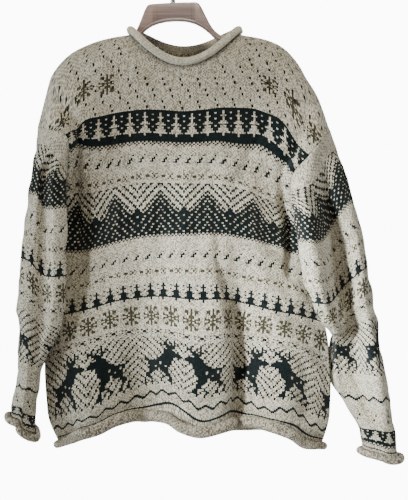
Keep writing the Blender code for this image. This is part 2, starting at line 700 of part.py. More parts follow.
def add_hook(collection):
    """The wire hook and the small ferrule at its foot, tilted with the hanger."""
    steel = add_material("steel", STEEL, 0.3, 1.0)
    wire_r = HOOK_INNER_R + HOOK_WIRE_R
    foot = HANGER[0].top + FERRULE_HEIGHT + 2 * SEAM_GAP
    route = [(0.0, 0.0, foot), (0.0, 0.0, foot + 0.008), (0.004, 0.0, foot + 0.014)]
    centre_z = -HOOK_INNER_R
    for angle in np.linspace(math.radians(-38), math.radians(-38) + HOOK_OPEN_ANGLE, 17):
        route.append((wire_r * math.cos(angle), 0.0, centre_z + wire_r * math.sin(angle)))
    curve = bpy.data.curves.new("hook", "CURVE")
    curve.dimensions = "3D"
    curve.bevel_depth = HOOK_WIRE_R
    curve.bevel_resolution = 2
    curve.use_fill_caps = True
    spline = curve.splines.new("POLY")
    spline.points.add(len(route) - 1)
    for point, place in zip(spline.points, route):
        point.co = (*place, 1.0)
    curve.materials.append(steel)
    hook = bpy.data.objects.new("hook", curve)
    collection.objects.link(hook)

    bpy.ops.mesh.primitive_cylinder_add(
        vertices=20,
        radius=FERRULE_R,
        depth=FERRULE_HEIGHT,
        location=(0.0, 0.0, HANGER[0].top + SEAM_GAP + FERRULE_HEIGHT / 2),
    )
    ferrule = bpy.context.active_object
    ferrule.name = "ferrule"
    ferrule.data.materials.append(steel)
    for holder in ferrule.users_collection:
        holder.objects.unlink(ferrule)
    collection.objects.link(ferrule)

    pivot = bpy.data.objects.new("hanger_tilt", None)
    collection.objects.link(pivot)
    for obj in (hook, ferrule):
        obj.parent = pivot
    pivot.rotation_euler = (0.0, -HANGER_TILT, 0.0)


def main():
    for obj in list(bpy.data.objects):
        bpy.data.objects.remove(obj)
    collection = bpy.data.collections.new("sweater_on_hanger")
    bpy.context.scene.collection.children.link(collection)
    body_and_sleeves(collection)
    add_hanger(collection)
    add_hook(collection)


main()
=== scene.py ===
# Knitted drop-shoulder sweater on a wooden hanger. Metres, +Z up, front towards -Y.
# "across" and "fall" are distances on the knitted panels: from the middle, and from the neck end of the
# shoulder down.
import math

import bpy
import numpy as np
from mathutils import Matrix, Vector


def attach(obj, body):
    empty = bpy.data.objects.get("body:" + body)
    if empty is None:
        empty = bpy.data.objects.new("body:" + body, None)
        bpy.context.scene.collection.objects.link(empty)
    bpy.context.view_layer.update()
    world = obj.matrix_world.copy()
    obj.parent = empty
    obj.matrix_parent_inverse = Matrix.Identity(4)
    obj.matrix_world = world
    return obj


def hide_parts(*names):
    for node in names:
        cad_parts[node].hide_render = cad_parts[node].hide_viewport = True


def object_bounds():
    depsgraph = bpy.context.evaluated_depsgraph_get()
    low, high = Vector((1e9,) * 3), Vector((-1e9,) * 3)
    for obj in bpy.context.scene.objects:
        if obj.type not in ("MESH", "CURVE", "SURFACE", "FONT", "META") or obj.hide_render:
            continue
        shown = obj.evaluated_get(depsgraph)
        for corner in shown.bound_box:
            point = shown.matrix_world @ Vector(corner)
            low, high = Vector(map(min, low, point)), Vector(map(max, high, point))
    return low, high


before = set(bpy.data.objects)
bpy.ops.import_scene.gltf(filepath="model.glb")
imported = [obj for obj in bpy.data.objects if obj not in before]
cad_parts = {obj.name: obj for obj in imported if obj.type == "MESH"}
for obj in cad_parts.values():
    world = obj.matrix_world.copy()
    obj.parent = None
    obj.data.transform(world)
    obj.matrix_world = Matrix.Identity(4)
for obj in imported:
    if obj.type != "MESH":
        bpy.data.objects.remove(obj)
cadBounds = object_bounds()
print("frame loaded:", sorted(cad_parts))

# The knit: width and height of a stitch, thickness of the cloth, and gap left at a seam
knit = {"stitch": 0.00335, "row": 0.0023, "wall": 0.0025, "gap": 0.0003}

# The body panels. Edge rows: fall, out, back, up. Depth rows: fall, middle, neck, tip, corner, bend.
# Droop rows: fall, neck, tip, corner, bend. Fold rows: across, height, width, start, grow.
# Hem lift rows: across, front, back.
body = {
    "middleX": 0.0215,
    "shoulderZ": -0.118,
    "halfWidth": 0.346,
    "neckHalf": 0.1035,
    "shoulderSlope": 0.035,
    "frontNeckCut": 0.082,
    "backNeckCut": 0.045,
    "neckSquareness": 0.75,
    "underarmFall": 0.290,
    "hemFall": 0.692,
    "turnLength": 0.050,
    "turnDrop": 0.030,
    "hemRoll": 0.0078,
    "tip": 0.181,
    "corner": 0.213,
    "bend": 0.262,
    "armholeRows": 66,
    "lowerRows": 96,
    "rollRows": 12,
    "hemSlim": 0.45,  # share of the hem roll's radius that is lost at the side seams
    "creaseFade": 0.030,
    "levelShare": 0.3,  # least share of a knitted step that stays level
    "neckColumns": 56,
    "shoulderColumns": 56,
    "frontArmhole": {
        "right": [
            (0.035, 0.257, 0.000, -0.286),
            (0.080, 0.243, -0.045, -0.300),
            (0.149, 0.211, -0.075, -0.336),
            (0.200, 0.184, -0.050, -0.372),
            (0.245, 0.190, -0.020, -0.418),
            (0.290, 0.2065, 0.000, -0.460),
        ],
        "left": [
            (0.035, 0.2555, 0.000, -0.278),
            (0.080, 0.232, -0.050, -0.288),
            (0.149, 0.193, -0.074, -0.308),
            (0.200, 0.197, -0.045, -0.352),
            (0.245, 0.206, -0.018, -0.404),
            (0.290, 0.2135, 0.000, -0.450),
        ],
    },
    "backArmhole": {
        "right": [
            (0.035, 0.257, 0.000, -0.286),
            (0.080, 0.247, 0.036, -0.304),
            (0.149, 0.222, 0.054, -0.348),
            (0.200, 0.208, 0.044, -0.392),
            (0.245, 0.203, 0.022, -0.430),
            (0.290, 0.2065, 0.000, -0.460),
        ],
        "left": [
            (0.035, 0.2555, 0.000, -0.278),
            (0.080, 0.246, 0.036, -0.296),
            (0.149, 0.226, 0.052, -0.338),
            (0.200, 0.216, 0.042, -0.382),
            (0.245, 0.213, 0.022, -0.420),
            (0.290, 0.2135, 0.000, -0.450),
        ],
    },
    "sideSeam": {
        "right": [
            (0.380, 0.2235, 0.002, -0.548),
            (0.460, 0.247, 0.003, -0.622),
            (0.530, 0.257, 0.003, -0.690),
            (0.600, 0.257, 0.003, -0.757),
            (0.645, 0.254, 0.002, -0.794),
            (0.692, 0.241, 0.002, -0.836),
        ],
        "left": [
            (0.380, 0.2235, 0.002, -0.538),
            (0.460, 0.238, 0.003, -0.615),
            (0.530, 0.244, 0.003, -0.685),
            (0.600, 0.241, 0.003, -0.755),
            (0.645, 0.236, 0.002, -0.792),
            (0.692, 0.218, 0.002, -0.833),
        ],
    },
    "frontDepth": [
        (0.000, 0.036, 0.036, 0.036, 0.037, 0.038),
        (0.060, 0.042, 0.042, 0.038, 0.037, 0.038),
        (0.100, 0.050, 0.048, 0.044, 0.044, 0.048),
        (0.149, 0.055, 0.053, 0.047, 0.048, 0.056),
        (0.200, 0.058, 0.056, 0.049, 0.045, 0.040),
        (0.290, 0.060, 0.058, 0.046, 0.036, 0.024),
        (0.450, 0.060, 0.057, 0.044, 0.036, 0.028),
        (0.692, 0.058, 0.055, 0.046, 0.042, 0.034),
    ],
    "backDepth": [
        (0.000, 0.032, 0.034, 0.034, 0.034, 0.034),
        (0.100, 0.042, 0.042, 0.040, 0.041, 0.044),
        (0.200, 0.049, 0.049, 0.046, 0.045, 0.042),
        (0.290, 0.051, 0.050, 0.045, 0.038, 0.030),
        (0.450, 0.051, 0.050, 0.044, 0.037, 0.030),
        (0.692, 0.050, 0.048, 0.044, 0.041, 0.034),
    ],
    "droop": {
        "right": [
            (0.000, 0.000, 0.022, 0.046, 0.096),
            (0.060, 0.001, 0.022, 0.038, 0.064),
            (0.149, 0.003, 0.021, 0.031, 0.048),
            (0.200, 0.004, 0.023, 0.032, 0.048),
            (0.290, 0.005, 0.022, 0.032, 0.048),
            (0.450, 0.006, 0.025, 0.033, 0.042),
            (0.692, 0.006, 0.026, 0.034, 0.040),
        ],
        "left": [
            (0.000, 0.000, 0.016, 0.029, 0.068),
            (0.060, 0.001, 0.018, 0.030, 0.052),
            (0.149, 0.003, 0.018, 0.027, 0.042),
            (0.200, 0.004, 0.020, 0.029, 0.042),
            (0.290, 0.005, 0.022, 0.031, 0.046),
            (0.450, 0.006, 0.022, 0.031, 0.042),
            (0.692, 0.006, 0.024, 0.032, 0.038),
        ],
    },
    "frontFolds": [
        (-0.235, 0.015, 0.040, 0.36, 0.26),
        (-0.105, -0.027, 0.048, 0.30, 0.34),
        (0.040, 0.019, 0.050, 0.26, 0.36),
        (0.135, -0.028, 0.036, 0.26, 0.30),
        (0.225, 0.014, 0.042, 0.34, 0.28),
    ],
    "backFolds": [
        (-0.200, 0.016, 0.045, 0.34, 0.30),
        (-0.090, -0.024, 0.045, 0.26, 0.34),
        (0.020, 0.018, 0.048, 0.24, 0.36),
        (0.120, -0.022, 0.042, 0.30, 0.32),
        (0.215, 0.014, 0.042, 0.36, 0.28),
    ],
    "liftStart": 0.38,
    "liftGrow": 0.31,
    "hemLift": [
        (-0.346, 0.0000, 0.0000),
        (-0.300, 0.0109, 0.0111),
        (-0.260, 0.0214, 0.0137),
        (-0.220, 0.0251, 0.0177),
        (-0.180, 0.0289, 0.0203),
        (-0.140, 0.0246, 0.0164),
        (-0.105, 0.0176, 0.0112),
        (-0.070, 0.0151, 0.0047),
        (-0.035, 0.0114, -0.0030),
        (0.000, -0.0008, -0.0080),
        (0.035, -0.0078, -0.0130),
        (0.070, -0.0013, -0.0160),
        (0.105, 0.0075, -0.0120),
        (0.140, 0.0133, -0.0018),
        (0.180, 0.0276, 0.0064),
        (0.220, 0.0308, 0.0126),
        (0.260, 0.0199, 0.0132),
        (0.300, 0.0054, 0.0034),
        (0.346, 0.0000, 0.0000),
    ],
}

def through(knots, values, at):
    # a smooth curve through values at knots, read at the positions in at
    knots = np.asarray(knots, float)
    values = np.asarray(values, float)
    slopes = np.gradient(values, knots, axis=0)
    at = np.clip(np.asarray(at, float), knots[0], knots[-1])
    i = np.clip(np.searchsorted(knots, at, side="right") - 1, 0, len(knots) - 2)
    width = knots[i + 1] - knots[i]
    t = (at - knots[i]) / width
    if values.ndim > 1:
        t, width = t[..., None], width[..., None]
    return hermite(values[i], slopes[i], values[i + 1], slopes[i + 1], t, width)


def hermite(a, slopeA, b, slopeB, t, width):
    return (
        a * (2 * t**3 - 3 * t**2 + 1)
        + slopeA * width * (t**3 - 2 * t**2 + t)
        + b * (3 * t**2 - 2 * t**3)
        + slopeB * width * (t**3 - t**2)
    )


def readColumn(table, column, at):
    return through([row[0] for row in table], [row[column] for row in table], at)


def rise(distance):
    t = np.clip(distance, 0, 1)
    return t * t * (3 - 2 * t)


def unit(vectors):
    length = np.linalg.norm(vectors, axis=-1, keepdims=True)
    return vectors / np.maximum(length, 1e-12)


def shoulderTop(across):
    out = np.clip(np.abs(across) - body["neckHalf"], 0, None)
    return body["shoulderSlope"] * out / (body["halfWidth"] - body["neckHalf"])


def panelTop(across, neckCut):
    inside = np.clip(np.abs(across) / body["neckHalf"], 0, 1)
    neck = neckCut * np.cos(inside * math.pi / 2) ** body["neckSquareness"]
    return np.where(np.abs(across) < body["neckHalf"] - 1e-9, neck, shoulderTop(across))


def readEdge(side, armholes, column, fall):
    # the armhole, and below it the seam that both panels share
    seam = armholes[side][-1:] + body["sideSeam"][side]
    above = readColumn(armholes[side], column, fall)
    below = readColumn(seam, column, fall)
    return np.where(fall < body["underarmFall"] + 1e-9, above, below)


def foldPush(across, fall, folds):
    push = np.zeros_like(across)
    for place, height, width, start, grow in folds:
        push += height * np.exp(-(((across - place) / width) ** 2)) * rise((fall - start) / grow)
    return push


def acrossRow(across, middle, left, right):
    # reads values given at the knots of both sides, each at its own position
    half = [0.0, body["neckHalf"], body["tip"], body["corner"], body["bend"], body["halfWidth"]]
    knots = np.array([-k for k in reversed(half[1:])] + half)
    values = np.array([*reversed(left), middle, *right])
    slopes = np.gradient(values, knots, axis=0)
    i = np.clip(np.searchsorted(knots, across, side="right") - 1, 0, len(knots) - 2)
    each = np.arange(len(across))
    width = knots[i + 1] - knots[i]
    t = (across - knots[i]) / width
    return hermite(values[i, each], slopes[i, each], values[i + 1, each], slopes[i + 1, each], t, width)


def panelRow(across, fall, way, armholes, depths, folds):
    # points of one row of a panel; way is -1 for the front and 1 for the back
    turnLength, turnDrop = body["turnLength"], body["turnDrop"]
    turned = np.clip(fall / turnLength, 0, 1) * math.pi / 2
    hung = np.where(fall < turnLength, turnDrop * (1 - np.cos(turned)), fall - turnLength + turnDrop)
    depth = [readColumn(depths, column, fall) for column in range(1, 6)]
    depthSides, droopSides, outs = [], [], []
    for side in ("left", "right"):
        droop = [readColumn(body["droop"][side], column, fall) for column in range(1, 5)]
        edgeUp = readEdge(side, armholes, 3, fall)
        droopSides.append([*droop, body["shoulderZ"] - hung - edgeUp])
        depthSides.append([*depth[1:], way * readEdge(side, armholes, 2, fall)])
        outs.append(readEdge(side, armholes, 1, fall))
    stand = acrossRow(across, depth[0], depthSides[0], depthSides[1])
    droop = acrossRow(across, 0 * depth[0], droopSides[0], droopSides[1])
    turn = np.sin(np.clip((fall - shoulderTop(across)) / turnLength, 0, 1) * math.pi / 2)
    atEdge = np.clip((np.abs(across) - body["bend"]) / (body["halfWidth"] - body["bend"]), 0, 1)
    edgeDepth = np.where(across < 0, depthSides[0][-1], depthSides[1][-1])
    stand = stand * turn + (1 - turn) * rise(atEdge) * edgeDepth
    grown = rise((fall - body["liftStart"]) / body["liftGrow"])
    lift = readColumn(body["hemLift"], 1 if way < 0 else 2, across) * grown
    y = way * (stand + foldPush(across, fall, folds))
    z = body["shoulderZ"] - hung - droop + lift
    steps = np.diff(across) ** 2 + np.diff(fall) ** 2 - np.diff(y) ** 2 - np.diff(z) ** 2
    steps = np.sqrt(np.maximum(steps, (body["levelShare"] * np.diff(across)) ** 2))
    x = np.concatenate([[0], np.cumsum(steps)])
    x -= np.interp(0, across, x)
    x = np.where(x < 0, x * outs[0][0] / -x[0], x * outs[1][-1] / x[-1])
    return np.stack([x + body["middleX"], y, z], axis=1)


def panelColumns():
    shoulder = np.linspace(body["neckHalf"], body["halfWidth"], body["shoulderColumns"] + 1)[1:]
    neck = np.linspace(-body["neckHalf"], body["neckHalf"], body["neckColumns"] + 1)
    return np.concatenate([-shoulder[::-1], neck, shoulder])


def panelGrid(way, armholes, depths, folds, neckCut):
    # outer points of a panel, and the knitted place of each
    columns = panelColumns()
    top = panelTop(columns, neckCut)
    rows = []
    for share in np.linspace(0, 1, body["armholeRows"] + 1):
        rows.append(top + (body["underarmFall"] - top) * share)
    for fall in np.linspace(body["underarmFall"], body["hemFall"], body["lowerRows"] + 1)[1:]:
        rows.append(np.full_like(columns, fall))
    points = np.array([panelRow(columns, fall, way, armholes, depths, folds) for fall in rows])
    return points, np.broadcast_to(columns, (len(rows), len(columns))), np.array(rows)


# How the knitted rows lie on the shaped body: fall, then pairs of x from the middle and rows added there
rowShift = [
    (0.000, [(-0.30, 0), (0.30, 0)]),
    (0.060, [(-0.24, 2), (-0.17, 6), (-0.12, 3), (0.0, 0), (0.12, 3), (0.17, 6), (0.24, 0)]),
    (0.100, [
        (-0.24, 0), (-0.195, 4), (-0.173, 12), (-0.138, 9), (-0.06, 1), (0, 0),
        (0.06, 1), (0.134, 9), (0.173, 10), (0.192, 2), (0.24, 0),
    ]),
    (0.172, [
        (-0.21, 16), (-0.178, 17), (-0.145, 13), (-0.10, 6), (-0.05, 0),
        (0.045, 0), (0.10, 8), (0.134, 13.5), (0.165, 12), (0.20, 6),
    ]),
    (0.265, [
        (-0.21, 15), (-0.187, 14), (-0.13, 7), (-0.06, 0),
        (0.04, -2), (0.10, 2), (0.162, 7), (0.21, 9),
    ]),
    (0.368, [(-0.21, 10), (-0.16, 5), (-0.11, 1), (0.0, -2), (0.10, 3), (0.18, 11), (0.22, 13)]),
    (0.430, [(-0.21, 8), (-0.13, 4), (-0.06, 0), (0.04, 0), (0.10, 1), (0.165, 5), (0.22, 7)]),
    (0.483, [(-0.21, 5), (-0.11, 1), (0.0, -1), (0.10, 0), (0.173, 1), (0.235, 6)]),
    (0.520, [(-0.24, 4), (-0.12, 0), (0.0, -3), (0.12, -1), (0.235, 3)]),
    (0.600, [(-0.24, 0), (-0.12, -2), (-0.01, 2), (0.06, 1), (0.14, -2), (0.20, 2), (0.24, 0)]),
    (0.660, [
        (-0.24, 0), (-0.163, -6), (-0.11, -4), (-0.065, 2), (-0.008, 7),
        (0.043, 3), (0.093, 4), (0.14, -3), (0.195, 4), (0.24, 0),
    ]),
    (0.692, [(-0.24, 0), (0.24, 0)]),
]


def stitchPlaces(points, fall):
    # sideways distance along each row from the middle, and the knitted length down to each point
    level = np.linalg.norm(np.diff(points[..., :2], axis=1), axis=2)
    along = np.concatenate([np.zeros((len(points), 1)), np.cumsum(level, axis=1)], axis=1)
    middle = points.shape[1] // 2
    out = points[..., 0] - body["middleX"]
    falls, each = [], []
    for fallThere, moves in rowShift:
        falls.append(fallThere)
        each.append(through([place for place, moved in moves], [moved for place, moved in moves], out))
    each = np.array(each)
    i = np.clip(np.searchsorted(falls, fall, side="right") - 1, 0, len(falls) - 2)
    share = rise((fall - np.take(falls, i)) / (np.take(falls, i + 1) - np.take(falls, i)))
    above = np.take_along_axis(each, i[None], 0)[0]
    below = np.take_along_axis(each, i[None] + 1, 0)[0]
    return along - along[:, middle : middle + 1], fall + (above + (below - above) * share) * knit["row"]


def gridNormals(points, closed, outward):
    along = np.gradient(points, axis=0)
    if closed:
        around = np.roll(points, -1, axis=1) - np.roll(points, 1, axis=1)
    else:
        around = np.gradient(points, axis=1)
    return unit(np.cross(around, along) * outward)


def squareTo(normals, direction):
    direction = unit(direction)
    return unit(normals - (normals * direction).sum(-1, keepdims=True) * direction)


# How far the rolled edges turn
rollAngle = math.radians(285)


def rolledRows(edge, normals, down, radius, rows):
    # outer points and normals of an edge that curls outwards
    centre = edge + normals * radius
    points, turned = [], []
    for angle in np.linspace(0, rollAngle, rows + 1)[1:]:
        normal = normals * math.cos(angle) - down * math.sin(angle)
        points.append(centre - normal * radius)
        turned.append(normal)
    return np.array(points), np.array(turned)


# Soft creases: across, fall, length, width, turn from upright in degrees, height (troughs are negative)
creases = {
    "front": [
        (0.314, 0.235, 0.300, 0.015, 2, -0.0130),
        (-0.314, 0.215, 0.280, 0.014, -2, -0.0120),
        (0.205, 0.215, 0.130, 0.013, 28, -0.0060),
        (0.165, 0.250, 0.110, 0.012, 40, -0.0030),
        (-0.200, 0.225, 0.120, 0.013, -32, -0.0055),
        (-0.150, 0.275, 0.100, 0.014, -48, -0.0026),
        (0.075, 0.100, 0.075, 0.010, -38, -0.0024),
        (-0.080, 0.105, 0.060, 0.010, 36, -0.0018),
        (0.120, 0.075, 0.070, 0.011, -55, 0.0022),
        (-0.125, 0.085, 0.060, 0.010, 52, 0.0016),
        (0.012, 0.330, 0.190, 0.020, 6, 0.0040),
        (0.090, 0.420, 0.160, 0.016, -7, -0.0048),
        (-0.060, 0.400, 0.200, 0.018, 5, -0.0042),
        (-0.185, 0.470, 0.150, 0.016, 10, -0.0030),
        (0.185, 0.480, 0.150, 0.014, -9, -0.0030),
        (-0.015, 0.560, 0.120, 0.013, 3, 0.0022),
        (0.100, 0.600, 0.110, 0.011, -4, 0.0024),
        (-0.160, 0.600, 0.100, 0.012, 6, 0.0020),
        (0.000, 0.520, 0.150, 0.016, 84, -0.0015),
        (-0.100, 0.345, 0.170, 0.017, 80, -0.0016),
        (0.110, 0.315, 0.130, 0.015, 100, -0.0016),
    ],
    "back": [
        (0.314, 0.225, 0.260, 0.015, 2, -0.0080),
        (-0.314, 0.220, 0.260, 0.014, -2, -0.0080),
        (0.195, 0.225, 0.120, 0.013, 30, -0.0040),
        (-0.205, 0.220, 0.130, 0.013, -30, -0.0042),
        (-0.150, 0.280, 0.110, 0.014, -46, -0.0026),
        (0.145, 0.290, 0.090, 0.013, 44, -0.0026),
        (0.020, 0.110, 0.110, 0.014, 88, -0.0020),
        (-0.070, 0.130, 0.080, 0.011, 40, -0.0018),
        (0.085, 0.125, 0.080, 0.011, -38, -0.0018),
        (-0.010, 0.350, 0.180, 0.018, -5, 0.0028),
        (0.080, 0.430, 0.170, 0.016, 8, -0.0030),
        (-0.120, 0.440, 0.190, 0.017, -4, -0.0030),
        (0.170, 0.520, 0.130, 0.014, 6, 0.0024),
        (-0.190, 0.560, 0.120, 0.014, -8, 0.0022),
        (0.020, 0.590, 0.120, 0.013, 2, -0.0022),
    ],
    "sleeve_right": [
        (-0.030, 0.080, 0.090, 0.011, 16, -0.0030),
        (0.050, 0.120, 0.080, 0.011, -30, -0.0026),
        (-0.060, 0.190, 0.090, 0.012, 34, -0.0030),
        (0.010, 0.255, 0.080, 0.012, 62, -0.0022),
        (0.040, 0.300, 0.080, 0.012, -48, -0.0026),
        (-0.020, 0.345, 0.070, 0.011, 66, 0.0022),
        (0.012, 0.400, 0.080, 0.010, -58, -0.0024),
        (-0.050, 0.430, 0.090, 0.012, 40, -0.0024),
        (0.020, 0.475, 0.070, 0.010, 70, 0.0020),
        (-0.010, 0.515, 0.070, 0.010, -64, -0.0020),
        (0.035, 0.545, 0.060, 0.009, 52, -0.0014),
    ],
    "sleeve_left": [
        (0.030, 0.070, 0.090, 0.011, -14, -0.0028),
        (-0.050, 0.130, 0.080, 0.011, 30, -0.0026),
        (0.055, 0.180, 0.090, 0.012, -32, -0.0030),
        (0.000, 0.245, 0.080, 0.012, 64, -0.0022),
        (-0.040, 0.290, 0.080, 0.012, 46, -0.0028),
        (0.022, 0.330, 0.070, 0.010, -62, 0.0024),
        (-0.012, 0.365, 0.080, 0.010, 60, -0.0026),
        (0.045, 0.395, 0.080, 0.011, -42, -0.0024),
        (-0.020, 0.430, 0.070, 0.009, 68, 0.0022),
        (0.012, 0.462, 0.070, 0.009, -60, -0.0022),
        (-0.030, 0.490, 0.055, 0.008, 50, -0.0014),
    ],
}
creaseBow = 0.36
waves = {"height": 0.0011, "lengths": (0.083, 0.057, 0.121), "turns": (0.4, 1.7, 2.6), "stretch": 1.7}


def creaseHeight(across, fall, rows, seed):
    # soft troughs and ridges, and the slight unevenness of hand-washed knitting
    height = np.zeros_like(across)
    for place, down, length, width, turn, tall in rows:
        angle = math.radians(turn)
        x, y = across - place, fall - down
        off = x * math.cos(angle) + y * math.sin(angle)
        along = -x * math.sin(angle) + y * math.cos(angle)
        bent = off + creaseBow * along**2 / length * (1 if turn > 0 else -1)
        height += tall * np.exp(-((bent / width) ** 2)) * np.exp(-((2 * along / length) ** 4))
    rng = np.random.default_rng(seed)
    for length, turn in zip(waves["lengths"], waves["turns"]):
        phase = rng.uniform(0, 2 * math.pi, 2)
        a = across * math.cos(turn) + fall * math.sin(turn)
        b = -across * math.sin(turn) + fall * math.cos(turn)
        wave = np.sin(2 * math.pi * a / length + phase[0])
        wave *= np.sin(2 * math.pi * b / (waves["stretch"] * length) + phase[1])
        height += waves["height"] * wave
    return height


def addWall(name, points, normals, closed, outward, u, v, slots):
    # a cloth wall: outer points, inner points one wall behind, and rims; u and v are stitches and rows
    rows, columns = points.shape[:2]
    inner = points - normals * knit["wall"]
    vertices = np.concatenate([points.reshape(-1, 3), inner.reshape(-1, 3)])
    behind = rows * columns
    last = columns if closed else columns - 1
    r, c = np.meshgrid(np.arange(rows - 1), np.arange(last), indexing="ij")
    nextC = (c + 1) % columns
    here, after = r * columns, (r + 1) * columns
    quads = np.stack([here + c, here + nextC, after + nextC, after + c], -1).reshape(-1, 4)
    u0, u1 = u[:-1, :last], u[:-1, 1 : last + 1] if not closed else u[:-1, 1:]
    u2, u3 = (u[1:, 1 : last + 1] if not closed else u[1:, 1:]), u[1:, :last]
    v0, v1 = v[:-1, :last], v[:-1, 1 : last + 1] if not closed else v[:-1, 1:]
    v2, v3 = (v[1:, 1 : last + 1] if not closed else v[1:, 1:]), v[1:, :last]
    quadU = np.stack([u0, u1, u2, u3], -1).reshape(-1, 4)
    quadV = np.stack([v0, v1, v2, v3], -1).reshape(-1, 4)
    faces = [quads, quads[:, ::-1] + behind]
    us, vs = [quadU, quadU[:, ::-1]], [quadV, quadV[:, ::-1]]
    inside = [np.zeros(len(quads), int), np.ones(len(quads), int)]
    rims = []
    for row, ahead in ((0, True), (rows - 1, False)):
        a = row * columns + np.arange(last)
        b = row * columns + (np.arange(last) + 1) % columns
        quad = np.stack([b, a, a + behind, b + behind], -1)
        rims.append((quad if ahead else quad[:, ::-1], u[row, :last], v[row, :last]))
    if not closed:
        for column, ahead in ((0, False), (columns - 1, True)):
            a = np.arange(rows - 1) * columns + column
            b = a + columns
            quad = np.stack([b, a, a + behind, b + behind], -1)
            rims.append((quad if ahead else quad[:, ::-1], u[:-1, column], v[:-1, column]))
    for quad, rimU, rimV in rims:
        faces.append(quad)
        us.append(np.repeat(rimU[:, None], 4, 1))
        vs.append(np.repeat(rimV[:, None], 4, 1))
        inside.append(np.ones(len(quad), int))
    faces, us, vs = np.concatenate(faces), np.concatenate(us), np.concatenate(vs)
    if outward < 0:
        faces, us, vs = faces[:, ::-1], us[:, ::-1], vs[:, ::-1]
    mesh = bpy.data.meshes.new(name)
    mesh.from_pydata(vertices.tolist(), [], faces.tolist())
    layer = mesh.uv_layers.new(name="stitches")
    layer.data.foreach_set("uv", np.stack([us, vs], -1).ravel())
    for material in slots:
        mesh.materials.append(material)
    mesh.polygons.foreach_set("material_index", np.concatenate(inside))
    mesh.shade_smooth()
    piece = bpy.data.objects.new(name, mesh)
    bpy.context.scene.collection.objects.link(piece)
    return piece


# The sleeves. Ring rows: along, outerOut, outerUp, lobe, lobeOut, lobeBack, lobeR, lobeDrop,
# underOut, underBack, underDrop, ridgeBack, recessBack, rearBack. Creases fade out near both ends.
sleeves = {
    "rows": 150,
    "cuffRoll": 0.0042,
    "ridgeIn": 0.024,
    "creaseFade": (0.025, 0.020),
    "pitNormal": (0.35, -0.94),
    "right": [
        (0.060, 0.278, -0.345, 1.0, 0.207, -0.062, 0.022, 0.074, 0.222, -0.006, 0.155, -0.046, -0.040, 0.050),
        (0.130, 0.301, -0.416, 1.0, 0.216, -0.066, 0.023, 0.072, 0.233, -0.004, 0.130, -0.044, -0.024, 0.052),
        (0.200, 0.317, -0.484, 1.0, 0.226, -0.066, 0.021, 0.068, 0.250, 0.000, 0.106, -0.044, -0.018, 0.052),
        (0.250, 0.325, -0.533, 1.0, 0.238, -0.064, 0.017, 0.060, 0.260, 0.000, 0.082, -0.044, -0.016, 0.050),
        (0.285, 0.330, -0.567, 1.0, 0.252, -0.057, 0.015, 0.052, 0.264, 0.004, 0.062, -0.044, -0.026, 0.048),
        (0.315, 0.334, -0.597, 0.7, 0.260, -0.048, 0.016, 0.036, 0.263, 0.012, 0.042, -0.044, -0.020, 0.047),
        (0.350, 0.340, -0.630, 0.3, 0.266, -0.030, 0.014, 0.014, 0.259, 0.021, 0.024, -0.044, -0.014, 0.047),
        (0.410, 0.349, -0.688, 0.0, 0.268, -0.006, 0.012, 0.002, 0.257, 0.024, 0.008, -0.044, -0.004, 0.047),
        (0.450, 0.356, -0.727, 0.0, 0.270, -0.008, 0.012, 0.000, 0.261, 0.020, 0.000, -0.043, -0.006, 0.045),
        (0.500, 0.364, -0.775, 0.0, 0.295, -0.016, 0.012, -0.002, 0.289, 0.008, -0.002, -0.042, -0.022, 0.041),
        (0.540, 0.370, -0.813, 0.0, 0.311, -0.018, 0.012, -0.006, 0.306, 0.004, -0.006, -0.039, -0.036, 0.038),
        (0.588, 0.376, -0.858, 0.0, 0.318, -0.018, 0.012, -0.014, 0.313, 0.002, -0.014, -0.035, -0.035, 0.034),
    ],
    "left": [
        (0.060, 0.262, -0.338, 0.9, 0.214, -0.066, 0.019, 0.030, 0.226, -0.006, 0.150, -0.066, -0.066, 0.050),
        (0.130, 0.273, -0.407, 0.9, 0.214, -0.066, 0.020, 0.030, 0.232, -0.004, 0.125, -0.066, -0.066, 0.050),
        (0.200, 0.281, -0.476, 0.9, 0.215, -0.066, 0.020, 0.032, 0.240, -0.002, 0.100, -0.066, -0.068, 0.050),
        (0.270, 0.288, -0.546, 0.9, 0.216, -0.064, 0.020, 0.034, 0.248, 0.000, 0.070, -0.064, -0.066, 0.050),
        (0.320, 0.291, -0.596, 0.8, 0.222, -0.058, 0.018, 0.030, 0.251, 0.000, 0.045, -0.058, -0.060, 0.048),
        (0.370, 0.289, -0.646, 0.5, 0.234, -0.048, 0.015, 0.020, 0.252, 0.002, 0.022, -0.054, -0.054, 0.046),
        (0.430, 0.291, -0.706, 0.0, 0.249, -0.028, 0.012, 0.008, 0.251, 0.006, 0.008, -0.049, -0.048, 0.044),
        (0.480, 0.299, -0.750, 0.0, 0.256, -0.022, 0.012, 0.014, 0.259, 0.004, 0.014, -0.043, -0.042, 0.039),
        (0.520, 0.304, -0.786, 0.0, 0.262, -0.018, 0.012, 0.034, 0.261, 0.002, 0.034, -0.036, -0.036, 0.034),
    ],
    # distance along the shaped sleeve, and the knitted length that lies there
    "knitted": {
        "right": [(0.0, 0.0), (0.588, 0.588)],
        "left": [(0.0, 0.0), (0.32, 0.332), (0.42, 0.445), (0.455, 0.475), (0.50, 0.545), (0.52, 0.588)],
    },
}


